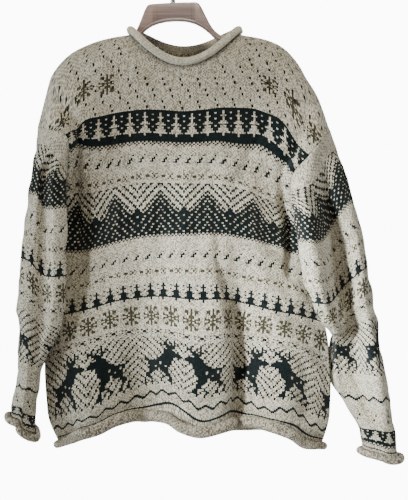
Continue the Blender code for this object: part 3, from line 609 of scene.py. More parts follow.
def sleeveRing(ring, count):
    # points round a sleeve at one station, from its outer edge through the front and the underarm
    outerOut, outerUp, lobe, lobeX, lobeY, r, drop = ring[1:8]
    underOut, underBack, under, ridgeY, flatY, rear = ring[8:]
    ridgeX = outerOut - sleeves["ridgeIn"]
    recessX = (ridgeX + lobeX + r) / 2
    width = outerOut - underOut
    halfDrop = 0.5 * (drop + under)
    full = (
        (0.220, lobeX + r, lobeY + 0.2 * r, 0.95 * drop),
        (0.280, lobeX, lobeY - r, drop),
        (0.345, lobeX - r, lobeY, drop),
        (0.425, lobeX + 0.3 * r, lobeY + r, halfDrop),
    )
    flat = (
        (0.220, 0.55 * recessX + 0.45 * lobeX, 0.75 * flatY + 0.25 * lobeY, 0.8 * drop),
        (0.280, 0.22 * recessX + 0.78 * lobeX, 0.50 * flatY + 0.50 * lobeY, 0.9 * drop),
        (0.345, lobeX - 0.1 * r, lobeY, drop),
        (0.425, 0.50 * (lobeX + underOut) - 0.1 * r, 0.5 * (lobeY + underBack), halfDrop),
    )
    corner = lobe * np.array(full) + (1 - lobe) * np.array(flat)
    marks = np.array(
        (
            (0.000, outerOut, 0.002, 0.0),
            (0.055, outerOut - 0.008, ridgeY * 0.70, 0.05 * drop),
            (0.110, ridgeX, ridgeY, 0.20 * drop),
            (0.165, recessX, flatY, 0.60 * drop),
            *corner,
            (0.500, underOut, underBack, under),
            (0.610, underOut + 0.15 * width, 0.28 * underBack + 0.72 * rear, 0.75 * under),
            (0.750, underOut + width / 2, rear, 0.45 * under),
            (0.890, outerOut - 0.18 * width, rear * 0.66, 0.08 * under),
        )
    )
    places = np.concatenate([marks[-3:, 0] - 1, marks[:, 0], marks[:3, 0] + 1])
    values = np.concatenate([marks[-3:, 1:], marks[:, 1:], marks[:3, 1:]])
    found = through(places, values, np.arange(count) / count)
    return np.stack([found[:, 0], found[:, 1], outerUp - found[:, 2]], axis=1)


def sleeveGrid(side, armhole):
    # outer points of a sleeve from the armhole seam to the cuff, with the way round and knitted length at each
    sign = 1 if side == "right" else -1
    rings = sleeves[side]
    count = len(armhole)
    shaped = [armhole]
    for ring in rings:
        found = sleeveRing(ring, count)
        found[:, 0] = body["middleX"] + sign * found[:, 0]
        shaped.append(found)
    stations = [0.0, *[ring[0] for ring in rings]]
    grid = np.array(shaped)
    along = np.linspace(0, stations[-1], sleeves["rows"] + 1)
    points = through(stations, grid.reshape(len(grid), -1), along).reshape(len(along), count, 3)
    loop = np.concatenate([points, points[:, :1]], axis=1)
    steps = np.linalg.norm(np.diff(loop, axis=1), axis=2)
    arc = np.concatenate([np.zeros((len(along), 1)), np.cumsum(steps, 1)], 1)
    front = np.arange(count + 1) <= count // 2
    around = np.where(front, arc, arc - arc[:, -1:])
    lengths = np.array(sleeves["knitted"][side])
    knitted = np.interp(along, lengths[:, 0], lengths[:, 1])
    return points, around, np.repeat(knitted[:, None], count + 1, 1)


def shifted(points, towards, distance):
    return points + unit(towards - points) * distance


def addNode(tree, kind, **settings):
    node = tree.nodes.new(kind)
    for key, value in settings.items():
        setattr(node, key, value)
    return node


def wire(tree, value, socket):
    # links an output socket, or sets a plain value
    if hasattr(value, "links"):
        tree.links.new(value, socket)
    else:
        socket.default_value = value


def calc(tree, operation, *values):
    node = addNode(tree, "ShaderNodeMath", operation=operation)
    for value, socket in zip(values, node.inputs):
        wire(tree, value, socket)
    return node.outputs[0]


def plus(tree, a, b):
    return calc(tree, "ADD", a, b)


def minus(tree, a, b):
    return calc(tree, "SUBTRACT", a, b)


def times(tree, a, b):
    return calc(tree, "MULTIPLY", a, b)


def within(tree, line, height):
    # 1 where a row, counted from a band's first row, lies inside the band
    below = calc(tree, "GREATER_THAN", line, -0.5)
    above = calc(tree, "LESS_THAN", line, minus(tree, height, 0.5))
    return times(tree, below, above)


def makeGroup(name, inputs, outputs):
    group = bpy.data.node_groups.new(name, "ShaderNodeTree")
    for label, kind in inputs:
        group.interface.new_socket(name=label, in_out="INPUT", socket_type="NodeSocket" + kind)
    for label, kind in outputs:
        group.interface.new_socket(name=label, in_out="OUTPUT", socket_type="NodeSocket" + kind)
    source = group.nodes.new("NodeGroupInput")
    sink = group.nodes.new("NodeGroupOutput")
    return group, source.outputs, sink.inputs


def placeGroup(tree, group, **values):
    node = addNode(tree, "ShaderNodeGroup", node_tree=group)
    for label, value in values.items():
        wire(tree, value, node.inputs[label])
    return node.outputs


def mixColour(tree, factor, a, b):
    node = addNode(tree, "ShaderNodeMix", data_type="RGBA")
    wire(tree, factor, node.inputs["Factor"])
    wire(tree, a, node.inputs["A"])
    wire(tree, b, node.inputs["B"])
    return node.outputs["Result"]


# The rounding of a stitch's leg across it and along the row, as shares lost at the edges
stitchRound = {"leg": 3.6, "row": 5.0}
# The marled yarn: turn of the twist a stitch and a leg, chance in it, wide drift, and sharpness of the flecks
marlTwist = {"stitch": 0.5, "leg": 0.25, "chance": 0.60, "drift": 0.08, "driftScale": 0.05, "sharpness": 1.35}


def makeStitchGroup():
    # which stitch a point lies in, with rows bent to the V of each stitch, and the relief of its two legs
    group, given, out = makeGroup(
        "knitStitch", [("Place", "Vector"), ("Bend", "Float")],
        [("Column", "Float"), ("Row", "Float"), ("Relief", "Float"), ("Leg", "Float")],
    )
    apart = addNode(group, "ShaderNodeSeparateXYZ")
    wire(group, given["Place"], apart.inputs[0])
    u, v = apart.outputs[0], apart.outputs[1]
    inStitch = calc(group, "FRACT", u)
    side = times(group, calc(group, "ABSOLUTE", minus(group, inStitch, 0.5)), 2.0)
    bentV = plus(group, v, times(group, given["Bend"], minus(group, side, 0.5)))
    inRow = calc(group, "FRACT", bentV)
    legSide = minus(group, side, 0.5)
    legSquare = calc(group, "POWER", calc(group, "ABSOLUTE", legSide), 2.0)
    legRound = minus(group, 1.0, times(group, legSquare, stitchRound["leg"]))
    rowSide = calc(group, "ABSOLUTE", minus(group, inRow, 0.5))
    rowRound = minus(group, 1.0, times(group, calc(group, "POWER", rowSide, 3.0), stitchRound["row"]))
    wire(group, calc(group, "FLOOR", u), out["Column"])
    wire(group, calc(group, "FLOOR", bentV), out["Row"])
    wire(group, times(group, legRound, rowRound), out["Relief"])
    wire(group, calc(group, "GREATER_THAN", inStitch, 0.5), out["Leg"])
    return group


def makeMarlGroup():
    # two-tone twisted yarn: every leg of every stitch shows more of one strand or of the other
    group, given, out = makeGroup(
        "marlYarn",
        [
            ("Column", "Float"), ("Row", "Float"), ("Leg", "Float"), ("Place", "Vector"),
            ("Pale", "Color"), ("Dusk", "Color"), ("Share", "Float"),
        ],
        [("Colour", "Color"), ("Fleck", "Float")],
    )
    spot = addNode(group, "ShaderNodeCombineXYZ")
    wire(group, plus(group, times(group, given["Column"], 2.0), given["Leg"]), spot.inputs[0])
    wire(group, given["Row"], spot.inputs[1])
    chance = addNode(group, "ShaderNodeTexWhiteNoise", noise_dimensions="2D")
    wire(group, spot.outputs[0], chance.inputs["Vector"])
    # the twist turns half way with every stitch and row, so light and dark stay finely mixed
    twist = times(group, plus(group, given["Column"], given["Row"]), marlTwist["stitch"])
    twist = plus(group, twist, times(group, given["Leg"], marlTwist["leg"]))
    turned = plus(group, twist, times(group, chance.outputs["Value"], marlTwist["chance"]))
    twist = calc(group, "FRACT", turned)
    wide = addNode(group, "ShaderNodeTexNoise", noise_dimensions="2D")
    wire(group, given["Place"], wide.inputs["Vector"])
    wide.inputs["Scale"].default_value = marlTwist["driftScale"]
    wide.inputs["Detail"].default_value = 2.0
    shift = times(group, minus(group, wide.outputs[0], 0.5), marlTwist["drift"])
    level = minus(group, plus(group, twist, shift), given["Share"])
    step = plus(group, times(group, level, marlTwist["sharpness"]), 0.5)
    fleck = addNode(group, "ShaderNodeClamp")
    wire(group, step, fleck.inputs["Value"])
    wire(group, mixColour(group, fleck.outputs[0], given["Dusk"], given["Pale"]), out["Colour"])
    wire(group, fleck.outputs[0], out["Fleck"])
    return group


def makeChartPlaceGroup():
    # a stitch's place in a repeated chart: the share down it, the column in the repeat, and whether inside
    group, given, out = makeGroup(
        "chartPlace",
        [
            ("Column", "Float"), ("Row", "Float"), ("Start", "Float"), ("Height", "Float"),
            ("Repeat", "Float"), ("Shift", "Float"), ("Mirror", "Float"), ("Beyond", "Float"),
        ],
        [("Down", "Float"), ("Across", "Float"), ("Inside", "Float")],
    )
    line = minus(group, given["Row"], given["Start"])
    offset = plus(group, plus(group, given["Column"], given["Shift"]), 0.5)
    turn = calc(group, "FLOORED_MODULO", offset, given["Repeat"])
    half = times(group, given["Repeat"], 0.5)
    folded = minus(group, half, calc(group, "ABSOLUTE", minus(group, turn, half)))
    plain = times(group, turn, minus(group, 1.0, given["Mirror"]))
    picked = plus(group, plain, times(group, folded, given["Mirror"]))
    fromMiddle = calc(group, "ABSOLUTE", given["Column"])
    outer = calc(group, "GREATER_THAN", fromMiddle, minus(group, given["Beyond"], 0.5))
    wire(group, calc(group, "DIVIDE", plus(group, line, 0.5), given["Height"]), out["Down"])
    wire(group, calc(group, "FLOOR", picked), out["Across"])
    wire(group, times(group, within(group, line, given["Height"]), outer), out["Inside"])
    return group


def makeChartInkGroup():
    # reads one stitch of a chart row, which is kept as bits in the three channels of a colour
    group, given, out = makeGroup(
        "chartInk", [("Line", "Color"), ("Across", "Float"), ("Inside", "Float")], [("Ink", "Float")]
    )
    apart = addNode(group, "ShaderNodeSeparateColor")
    wire(group, given["Line"], apart.inputs[0])
    total = None
    for channel in range(3):
        first = 8.0 * channel
        pastFirst = calc(group, "GREATER_THAN", given["Across"], first - 0.5)
        here = times(group, pastFirst, calc(group, "LESS_THAN", given["Across"], first + 7.5))
        size = calc(group, "POWER", 2.0, minus(group, given["Across"], first))
        bits = plus(group, times(group, apart.outputs[channel], 256.0), 0.5)
        bit = calc(group, "FLOORED_MODULO", calc(group, "FLOOR", calc(group, "DIVIDE", bits, size)), 2.0)
        part = times(group, here, bit)
        total = part if total is None else plus(group, total, part)
    wire(group, times(group, total, given["Inside"]), out["Ink"])
    return group


# Charts, drawn a stitch a letter: # is knitted in the band's contrast yarn
charts = {
    "lice": """
........
..#.....
..#.....
........
........
...#....
...#....
........
""",
    "snowflake": """
....#......
.##.#.##...
.##.#.##...
..#.#.#....
...###.....
#..###..#..
###.#.###..
..#####....
###.#.###..
#..###..#..
...###.....
..#.#.#....
.##.#.##...
.##.#.##...
....#......
""",
    "paleFirs": """
########
########
####.###
.###.###
####.###
###...##
####.###
.###.###
####.###
###...##
##.....#
####.###
.##...##
###...##
##.....#
##.....#
#.......
####.###
####.###
########
########
########
########
#.#.#.#.
.#.#.#.#
#...#...
""",
    "dashes": """
....#.
......
...#..
..##..
..#...
.##...
""",
    "crosses": """
#.#.....
.#...##.
.#...##.
#.#.....
""",
    "darkFirs": """
...#...
#..#...
..###..
...#...
#..#...
..###..
.#####.
..###..
..###..
.#####.
#######
...#...
...#...
""",
    "dots": """
#..#..#.
.##.....
.##...#.
#..#....
""",
    "deer": """
....#....#..............
..#.#..#.#..............
..###.##.#..#...........
....###.###.#...........
....####.###............
.....#####..............
......###...............
....######..............
..#########.............
.##########.............
.###########............
....########............
.....########...........
.....##########......##.
......################..
......###############...
......######.#####.##...
.......#############....
.......##.#####.####....
........############....
........#####.######....
........#####...####....
........####......###...
.......####.......####..
.......###.........###..
.......#####.......##.#.
......##...#......##..#.
......##...##.....#...#.
......##....#.....#...#.
.....###...##....##..##.
""",
    "zigzag": """
...##...
..####..
.##..##.
##....##
#......#
""",
    "line": """
#
""",
    "cuffFirs": """
########
.###.###
###...##
####.###
.##...##
###...##
##.....#
##.....#
#.......
####.###
########
########
#.#.#.#.
.#.#.#.#
""",
}
# Bands: chart, first row, rows if stretched, repeat, shift, yarn, mirrored, only beyond this stitch
bodyBands = [
    ("lice", 4, 0, 9, 0, "dark", 0, 33),
    ("lice", 12, 0, 9, 4, "dark", 0, 33),
    ("lice", 20, 0, 9, 0, "dark", 0, 33),
    ("lice", 28, 0, 9, 4, "dark", 0, 30),
    ("lice", 36, 0, 9, 0, "dark", 0, 18),
    ("lice", 44, 0, 9, 4, "dark", 0, 0),
    ("lice", 52, 0, 9, 0, "dark", 0, 0),
    ("lice", 60, 0, 9, 4, "dark", 0, 0),
    ("snowflake", 39, 0, 12, 8, "olive", 0, 37),
    ("paleFirs", 68, 0, 8, 0, "dark", 0, 0),
    ("dashes", 100, 0, 6, 0, "dark", 0, 0),
    ("crosses", 114, 0, 8, 0, "olive", 0, 0),
    ("dashes", 171, 0, 6, 3, "dark", 0, 0),
    ("crosses", 185, 0, 8, 4, "olive", 0, 0),
    ("darkFirs", 196, 0, 7, 0, "dark", 0, 0),
    ("snowflake", 213, 0, 11, 0, "olive", 0, 0),
    ("dots", 231, 0, 8, 0, "dark", 0, 0),
    ("deer", 240, 38, 54, 0, "dark", 1, 0),
    ("zigzag", 285, 0, 8, 0, "dark", 0, 0),
    ("line", 295, 0, 1, 0, "dark", 0, 0),
]
sleeveBands = [
    ("dashes", 66, 0, 6, 0, "dark", 0, 0),
    ("crosses", 82, 0, 8, 0, "olive", 0, 0),
    ("darkFirs", 93, 0, 7, 0, "dark", 0, 0),
    ("snowflake", 109, 0, 11, 0, "olive", 0, 0),
    ("dots", 128, 0, 8, 0, "dark", 0, 0),
    ("deer", 146, 38, 54, 0, "dark", 1, 0),
    ("zigzag", 204, 0, 8, 0, "dark", 0, 0),
    ("lice", 218, 0, 9, 0, "dark", 0, 0),
    ("cuffFirs", 232, 0, 8, 0, "dark", 0, 0),
    ("line", 249, 0, 1, 0, "dark", 0, 0),
]
# Peaks: first row, rows, repeat, rows of sky above a peak, and rows fallen a stitch
bodyPeaks = {"start": 121, "height": 39, "repeat": 24, "sky": 7, "slope": 1.6}
sleevePeaks = {"start": 14, "height": 40, "repeat": 24, "sky": 7, "slope": 1.6}
# Chevron hatching behind the deer: first row, rows, repeat
bodyHatch = {"start": 237, "height": 43, "repeat": 54}
sleeveHatch = {"start": 142, "height": 46, "repeat": 54}
# Chevrons: rows fallen a stitch, rows between two lines, and the rows that a line in the sky or a seam fills
chevrons = {"slope": 1.5, "step": 6.0, "line": 1.75, "seam": 1.25}
# Peaks: rows by which each second one is lower, rows without dots under the edge, and checked rows at the foot
rocks = {"lower": 9.0, "plain": 3.0, "foot": 2.5}


def chartRows(name):
    return charts[name].strip().splitlines()


def makePeaksGroup():
    # stepped dark peaks with pale chevron dots, dark chevron lines above them, and a checked foot
    group, given, out = makeGroup(
        "steppedPeaks",
        [
            ("Column", "Float"), ("Row", "Float"), ("Start", "Float"), ("Height", "Float"),
            ("Repeat", "Float"), ("Sky", "Float"), ("Slope", "Float"),
        ],
        [("Ink", "Float")],
    )
    line = minus(group, given["Row"], given["Start"])
    inside = within(group, line, given["Height"])
    half = times(group, given["Repeat"], 0.5)
    turn = calc(group, "FLOORED_MODULO", given["Column"], given["Repeat"])
    fromPeak = calc(group, "ABSOLUTE", minus(group, turn, half))
    fromSmall = minus(group, half, fromPeak)
    tall = plus(group, given["Sky"], times(group, fromPeak, given["Slope"]))
    lower = plus(group, given["Sky"], rocks["lower"])
    small = plus(group, lower, times(group, fromSmall, given["Slope"]))
    edge = calc(group, "MINIMUM", tall, small)
    rock = calc(group, "GREATER_THAN", line, edge)
    slanted = minus(group, times(group, fromPeak, chevrons["slope"]), line)
    chevron = calc(group, "FLOORED_MODULO", slanted, chevrons["step"])
    onStripe = calc(group, "LESS_THAN", chevron, chevrons["line"])
    onSeam = calc(group, "LESS_THAN", chevron, chevrons["seam"])
    oddRow = calc(group, "GREATER_THAN", calc(group, "FLOORED_MODULO", line, 2.0), 0.5)
    deep = calc(group, "GREATER_THAN", line, plus(group, edge, rocks["plain"]))
    paleDot = times(group, times(group, onSeam, oddRow), deep)
    lastRows = calc(group, "GREATER_THAN", line, minus(group, given["Height"], rocks["foot"]))
    checker = calc(group, "FLOORED_MODULO", plus(group, given["Column"], given["Row"]), 2.0)
    rockInk = minus(group, rock, times(group, rock, paleDot))
    skyInk = times(group, minus(group, 1.0, rock), onStripe)
    ink = plus(group, rockInk, skyInk)
    ink = times(group, ink, minus(group, 1.0, lastRows))
    ink = plus(group, ink, times(group, checker, lastRows))
    wire(group, times(group, ink, inside), out["Ink"])
    return group


def makeHatchGroup():
    # broken chevron lines on the pale ground
    group, given, out = makeGroup(
        "chevronHatch",
        [("Column", "Float"), ("Row", "Float"), ("Start", "Float"), ("Height", "Float"), ("Repeat", "Float")],
        [("Ink", "Float")],
    )
    line = minus(group, given["Row"], given["Start"])
    inside = within(group, line, given["Height"])
    half = times(group, given["Repeat"], 0.5)
    turn = calc(group, "FLOORED_MODULO", given["Column"], given["Repeat"])
    fromMiddle = calc(group, "ABSOLUTE", minus(group, turn, half))
    slanted = minus(group, times(group, fromMiddle, chevrons["slope"]), line)
    chevron = calc(group, "FLOORED_MODULO", slanted, chevrons["step"])
    stripe = calc(group, "LESS_THAN", chevron, chevrons["seam"])
    wire(group, times(group, stripe, inside), out["Ink"])
    return group


def makePatternGroup(name, bands, peaks, hatch, parts):
    # every band of a piece together: masks of the dark and the olive yarn
    group, given, out = makeGroup(
        name, [("Column", "Float"), ("Row", "Float")], [("Dark", "Float"), ("Olive", "Float")]
    )
    column, row = given["Column"], given["Row"]
    inks = {"dark": [], "olive": []}
    for chart, start, height, repeat, shift, yarn, mirrored, beyond in bands:
        lines = chartRows(chart)
        place = placeGroup(
            group, parts["chartPlace"], Column=column, Row=row, Start=float(start),
            Height=float(height or len(lines)), Repeat=float(repeat), Shift=float(shift),
            Mirror=float(mirrored), Beyond=float(beyond),
        )
        ramp = addNode(group, "ShaderNodeValToRGB")
        ramp.color_ramp.interpolation = "CONSTANT"
        stops = ramp.color_ramp.elements
        while len(stops) > 1:
            stops.remove(stops[-1])
        for i, line in enumerate(lines):
            stop = stops[0] if i == 0 else stops.new(i / len(lines))
            stop.position = i / len(lines)
            padded = line.ljust(24, ".")
            eights = [padded[first : first + 8] for first in (0, 8, 16)]
            bits = [sum(1 << k for k in range(8) if eight[k] == "#") / 256 for eight in eights]
            stop.color = (*bits, 1.0)
        wire(group, place["Down"], ramp.inputs[0])
        ink = placeGroup(
            group, parts["chartInk"], Line=ramp.outputs[0], Across=place["Across"], Inside=place["Inside"]
        )
        inks[yarn].append(ink["Ink"])
    peakValues = {key.capitalize(): float(value) for key, value in peaks.items()}
    hatchValues = {key.capitalize(): float(value) for key, value in hatch.items()}
    peakInk = placeGroup(group, parts["peaks"], Column=column, Row=row, **peakValues)
    hatchInk = placeGroup(group, parts["hatch"], Column=column, Row=row, **hatchValues)
    inks["dark"] += [peakInk["Ink"], hatchInk["Ink"]]
    for yarn, label in (("dark", "Dark"), ("olive", "Olive")):
        total = inks[yarn][0]
        for ink in inks[yarn][1:]:
            total = calc(group, "MAXIMUM", total, ink)
        wire(group, total, out[label])
    return group


yarns = {
    "pale": (0.90, 0.845, 0.690, 1.0),
    "paleDusk": (0.265, 0.232, 0.165, 1.0),
    "dark": (0.0085, 0.0175, 0.0185, 1.0),
    "darkDusk": (0.0035, 0.0060, 0.0070, 1.0),
    "olive": (0.092, 0.085, 0.050, 1.0),
    "oliveDusk": (0.048, 0.044, 0.028, 1.0),
    "roll": (0.93, 0.875, 0.715, 1.0),
    "rollDusk": (0.62, 0.56, 0.43, 1.0),
    "inside": (0.62, 0.57, 0.45, 1.0),
    "insideDusk": (0.17, 0.14, 0.10, 1.0),
    "marlShare": 0.46,
    "plainShare": 0.5,
    "bend": 0.45,
    # painted shade in the knit's grooves: the relief it follows, and how much of the colour it leaves
    "grooveRelief": (0.15, 0.85),
    "paintedGrooveShade": (0.16, 1.0),
    "bumpStrength": 0.8,
    "bumpDistance": 0.0018,
    "roughness": 0.95,
    "sheen": 0.04,
    "sheenRoughness": 0.4,
    "specular": 0.08,
}


def makeKnitMaterial(name, pattern, parts, pale, dusk):
    material = bpy.data.materials.new(name)
    material.use_nodes = True
    tree = material.node_tree
    shader = tree.nodes["Principled BSDF"]
    place = addNode(tree, "ShaderNodeUVMap", uv_map="stitches").outputs[0]
    stitch = placeGroup(tree, parts["stitch"], Place=place, Bend=yarns["bend"])

    def marl(light, shade, share):
        found = placeGroup(
            tree, parts["marl"], Column=stitch["Column"], Row=stitch["Row"], Leg=stitch["Leg"], Place=place,
            Pale=light, Dusk=shade, Share=share,
        )
        return found["Colour"]

    colour = marl(pale, dusk, yarns["marlShare"])
    if pattern:
        masks = placeGroup(tree, pattern, Column=stitch["Column"], Row=stitch["Row"])
        olive = marl(yarns["olive"], yarns["oliveDusk"], yarns["plainShare"])
        colour = mixColour(tree, masks["Olive"], colour, olive)
        dark = marl(yarns["dark"], yarns["darkDusk"], yarns["plainShare"])
        colour = mixColour(tree, masks["Dark"], colour, dark)
    # painted shade: the base colour is darkened in the grooves between stitches, as their shadow, and left
    # full on the tops of the yarn
    groove = addNode(tree, "ShaderNodeMapRange")
    wire(tree, stitch["Relief"], groove.inputs["Value"])
    groove.inputs["From Min"].default_value = yarns["grooveRelief"][0]
    groove.inputs["From Max"].default_value = yarns["grooveRelief"][1]
    groove.inputs["To Min"].default_value = yarns["paintedGrooveShade"][0]
    groove.inputs["To Max"].default_value = yarns["paintedGrooveShade"][1]
    shade = addNode(tree, "ShaderNodeMix", data_type="RGBA", blend_type="MULTIPLY")
    shade.inputs["Factor"].default_value = 1.0
    wire(tree, colour, shade.inputs["A"])
    wire(tree, groove.outputs[0], shade.inputs["B"])
    wire(tree, shade.outputs["Result"], shader.inputs["Base Color"])
    bump = addNode(tree, "ShaderNodeBump")
    bump.inputs["Strength"].default_value = yarns["bumpStrength"]
    bump.inputs["Distance"].default_value = yarns["bumpDistance"]
    wire(tree, stitch["Relief"], bump.inputs["Height"])
    wire(tree, bump.outputs[0], shader.inputs["Normal"])
    shader.inputs["Roughness"].default_value = yarns["roughness"]
    shader.inputs["Sheen Weight"].default_value = yarns["sheen"]
    shader.inputs["Sheen Roughness"].default_value = yarns["sheenRoughness"]
    shader.inputs["Specular IOR Level"].default_value = yarns["specular"]
    return material


def makeKnitMaterials():
    parts = {
        "stitch": makeStitchGroup(),
        "marl": makeMarlGroup(),
        "chartPlace": makeChartPlaceGroup(),
        "chartInk": makeChartInkGroup(),
        "peaks": makePeaksGroup(),
        "hatch": makeHatchGroup(),
    }
    bodyPattern = makePatternGroup("bodyPattern", bodyBands, bodyPeaks, bodyHatch, parts)
    sleevePattern = makePatternGroup("sleevePattern", sleeveBands, sleevePeaks, sleeveHatch, parts)
    return {
        "body": makeKnitMaterial("bodyKnit", bodyPattern, parts, yarns["pale"], yarns["paleDusk"]),
        "sleeve": makeKnitMaterial("sleeveKnit", sleevePattern, parts, yarns["pale"], yarns["paleDusk"]),
        "inside": makeKnitMaterial("insideKnit", None, parts, yarns["inside"], yarns["insideDusk"]),
        "roll": makeKnitMaterial("rollKnit", None, parts, yarns["roll"], yarns["rollDusk"]),
    }


panelWays = {"front": -1, "back": 1}
creaseSeeds = {"front": 3, "back": 5, "sleeve": 7}


def shapePanels():
    # both panels with their creases, and the knitted length down to each point
    panels, falls = {}, {}
    for name, way in panelWays.items():
        neckCut = body[name + "NeckCut"]
        points, across, fall = panelGrid(
            way, body[name + "Armhole"], body[name + "Depth"], body[name + "Folds"], neckCut
        )
        fade = rise((body["halfWidth"] - np.abs(across)) / body["creaseFade"])
        fade = fade * rise((fall - panelTop(panelColumns(), neckCut)) / body["creaseFade"])
        height = creaseHeight(across, fall, creases[name], creaseSeeds[name]) * fade
        panels[name] = points + gridNormals(points, False, way) * height[..., None]
        falls[name] = fall
    return panels, falls


def shareShoulder(front, normals, neck):
    # both panels face the same way along the shoulder seams
    up = unit(np.cross(np.gradient(front[0], axis=0), [0.0, 1.0, 0.0]))
    up = np.where(up[:, 2:] < 0, -up, up)
    for panel in normals.values():
        panel[0][~neck] = up[~neck]


def sewSleeve(side, front, back, normals):
    # shapes a sleeve on its armhole, and gives it and both panels the same normals along their seams
    under = body["armholeRows"]
    column, outward = (-1, 1) if side == "right" else (0, -1)
    shared = unit(normals["front"][:, column] + normals["back"][:, column])
    shared[:, 1] = 0
    shared = squareTo(shared, np.gradient(front[:, column], axis=0))
    for panel in normals.values():
        panel[under + 1 :, column] = shared[under + 1 :]
    armhole = np.concatenate([front[: under + 1, column], back[under - 1 : 0 : -1, column]])
    points, around, knitted = sleeveGrid(side, armhole)
    height = creaseHeight(around[:, :-1], knitted[:, :-1], creases["sleeve_" + side], creaseSeeds["sleeve"])
    top, foot = sleeves["creaseFade"]
    height *= rise(knitted[:, :-1] / top) * rise((knitted[-1, 0] - knitted[:, :-1]) / foot)
    points = points + gridNormals(points, True, outward) * height[..., None]
    sleeveNormals = gridNormals(points, True, outward)
    frontEdge = normals["front"][: under + 1, column]
    ring = np.concatenate([frontEdge, normals["back"][under - 1 : 0 : -1, column]])
    ring = unit(ring + sleeveNormals[0])
    ring = squareTo(ring, np.roll(armhole, -1, axis=0) - np.roll(armhole, 1, axis=0))
    aside, down = sleeves["pitNormal"]
    ring[under] = (aside * outward, 0.0, down)
    sleeveNormals[0] = ring
    sleeveNormals[0, under, 0] *= -1
    normals["front"][: under + 1, column] = ring[: under + 1]
    normals["back"][1 : under + 1, column] = ring[: under - 1 : -1]
    normals["back"][0, column] = ring[0]
    return points, sleeveNormals, outward, around, knitted


def shareNeck(front, back, normals):
    # the neck edge, which the panels and the neckband share: its points and normals
    neckColumns = np.where(np.abs(panelColumns()) < body["neckHalf"] + 1e-9)[0]
    backColumns = neckColumns[-2:0:-1]
    ends = [0, body["neckColumns"]]
    ring = np.concatenate([front[0, neckColumns], back[0, backColumns]])
    found = np.concatenate([normals["front"][0, neckColumns], normals["back"][0, backColumns]])
    found[ends] = (0.0, 0.0, 1.0)
    tangent = np.roll(ring, -1, axis=0) - np.roll(ring, 1, axis=0)
    out = ring - ring.mean(axis=0)
    out[:, 2] = 0
    found = squareTo(unit(found + unit(out)), tangent)
    normals["front"][0, neckColumns] = found[: len(neckColumns)]
    normals["back"][0, backColumns] = found[len(neckColumns) :]
    normals["back"][0, neckColumns[[0, -1]]] = found[ends]
    return ring, found


def openSeams(panels, neck):
    # each panel stands half a gap back from its seams
    half = knit["gap"] / 2
    under = body["armholeRows"]
    for name, way in panelWays.items():
        panel = panels[name]
        panel[:, 0] = shifted(panel[:, 0], panel[:, 1], half)
        panel[:, -1] = shifted(panel[:, -1], panel[:, -2], half)
        panel[0][~neck] += (0.0, way * half, 0.0)
        panel[under + 1 :, 0] += (0.0, way * half, 0.0)
        panel[under + 1 :, -1] += (0.0, way * half, 0.0)
        panel[under, [0, -1]] += (0.0, way * half, -half)


def makePanel(name, points, normals, fallHere, materials):
    # one panel with its rolled hem
    rows = body["rollRows"]
    across, fall = stitchPlaces(points, fallHere)
    down = squareTo(points[-1] - points[-2], normals[-1])
    aside = rise((np.abs(panelColumns()) - body["bend"]) / (body["halfWidth"] - body["bend"]))
    radius = (body["hemRoll"] * (1 - body["hemSlim"] * aside))[:, None]
    rolled, turned = rolledRows(points[-1], normals[-1], down, radius, rows)
    u = np.concatenate([across, np.repeat(across[-1:], rows, 0)]) / knit["stitch"]
    lengths = np.linspace(0, rollAngle, rows + 1)[1:, None] * radius[:, 0]
    v = np.concatenate([fall, body["hemFall"] + lengths]) / knit["row"]
    return addWall(
        name + "Knit", np.concatenate([points, rolled]), np.concatenate([normals, turned]),
        False, panelWays[name], u, v, (materials["body"], materials["inside"]),
    )


def makeSleeve(side, points, normals, outward, around, knitted, materials):
    # one sleeve with its rolled cuff
    rows = body["rollRows"]
    points[0] = shifted(points[0], points[1], knit["gap"] / 2)
    down = squareTo(points[-1] - points[-2], normals[-1])
    rolled, turned = rolledRows(points[-1], normals[-1], down, sleeves["cuffRoll"], rows)
    u = np.concatenate([around, np.repeat(around[-1:], rows, 0)]) / knit["stitch"]
    lengths = np.linspace(0, rollAngle, rows + 1)[1:, None] * sleeves["cuffRoll"]
    v = np.concatenate([knitted, knitted[-1:] + np.repeat(lengths, around.shape[1], 1)]) / knit["row"]
    return addWall(
        "sleeveKnit_" + side, np.concatenate([points, rolled]), np.concatenate([normals, turned]),
        True, outward, u, v, (materials["sleeve"], materials["inside"]),
    )


# The neckband: radius of its roll, height of the stand under it
collar = {"roll": 0.0040, "stand": 0.0065, "standRows": 3}


def makeCollar(ring, normals, material):
    # a short stand on the neck edge, which rolls outwards
    tangent = np.roll(ring, -1, axis=0) - np.roll(ring, 1, axis=0)
    away = unit(np.cross(normals, tangent))
    start = ring + away * knit["gap"]
    steps = range(collar["standRows"] + 1)
    stands = [start + away * collar["stand"] * i / collar["standRows"] for i in steps]
    rolled, turned = rolledRows(stands[-1], normals, away, collar["roll"], body["rollRows"])
    points = np.concatenate([stands, rolled])
    allNormals = np.concatenate([[normals] * len(stands), turned])
    loop = np.concatenate([ring, ring[:1]])
    arc = np.concatenate([[0], np.cumsum(np.linalg.norm(np.diff(loop, axis=0), axis=1))])
    curled = np.linspace(0, rollAngle, body["rollRows"] + 1)[1:] * collar["roll"]
    up = np.concatenate([np.linspace(0, collar["stand"], len(stands)), collar["stand"] + curled])
    u = np.repeat(arc[None, :], len(points), 0) / knit["stitch"]
    v = np.repeat(up[:, None], len(arc), 1) / knit["row"]
    return addWall("collarKnit", points, allNormals, True, 1, u, v, (material, material))


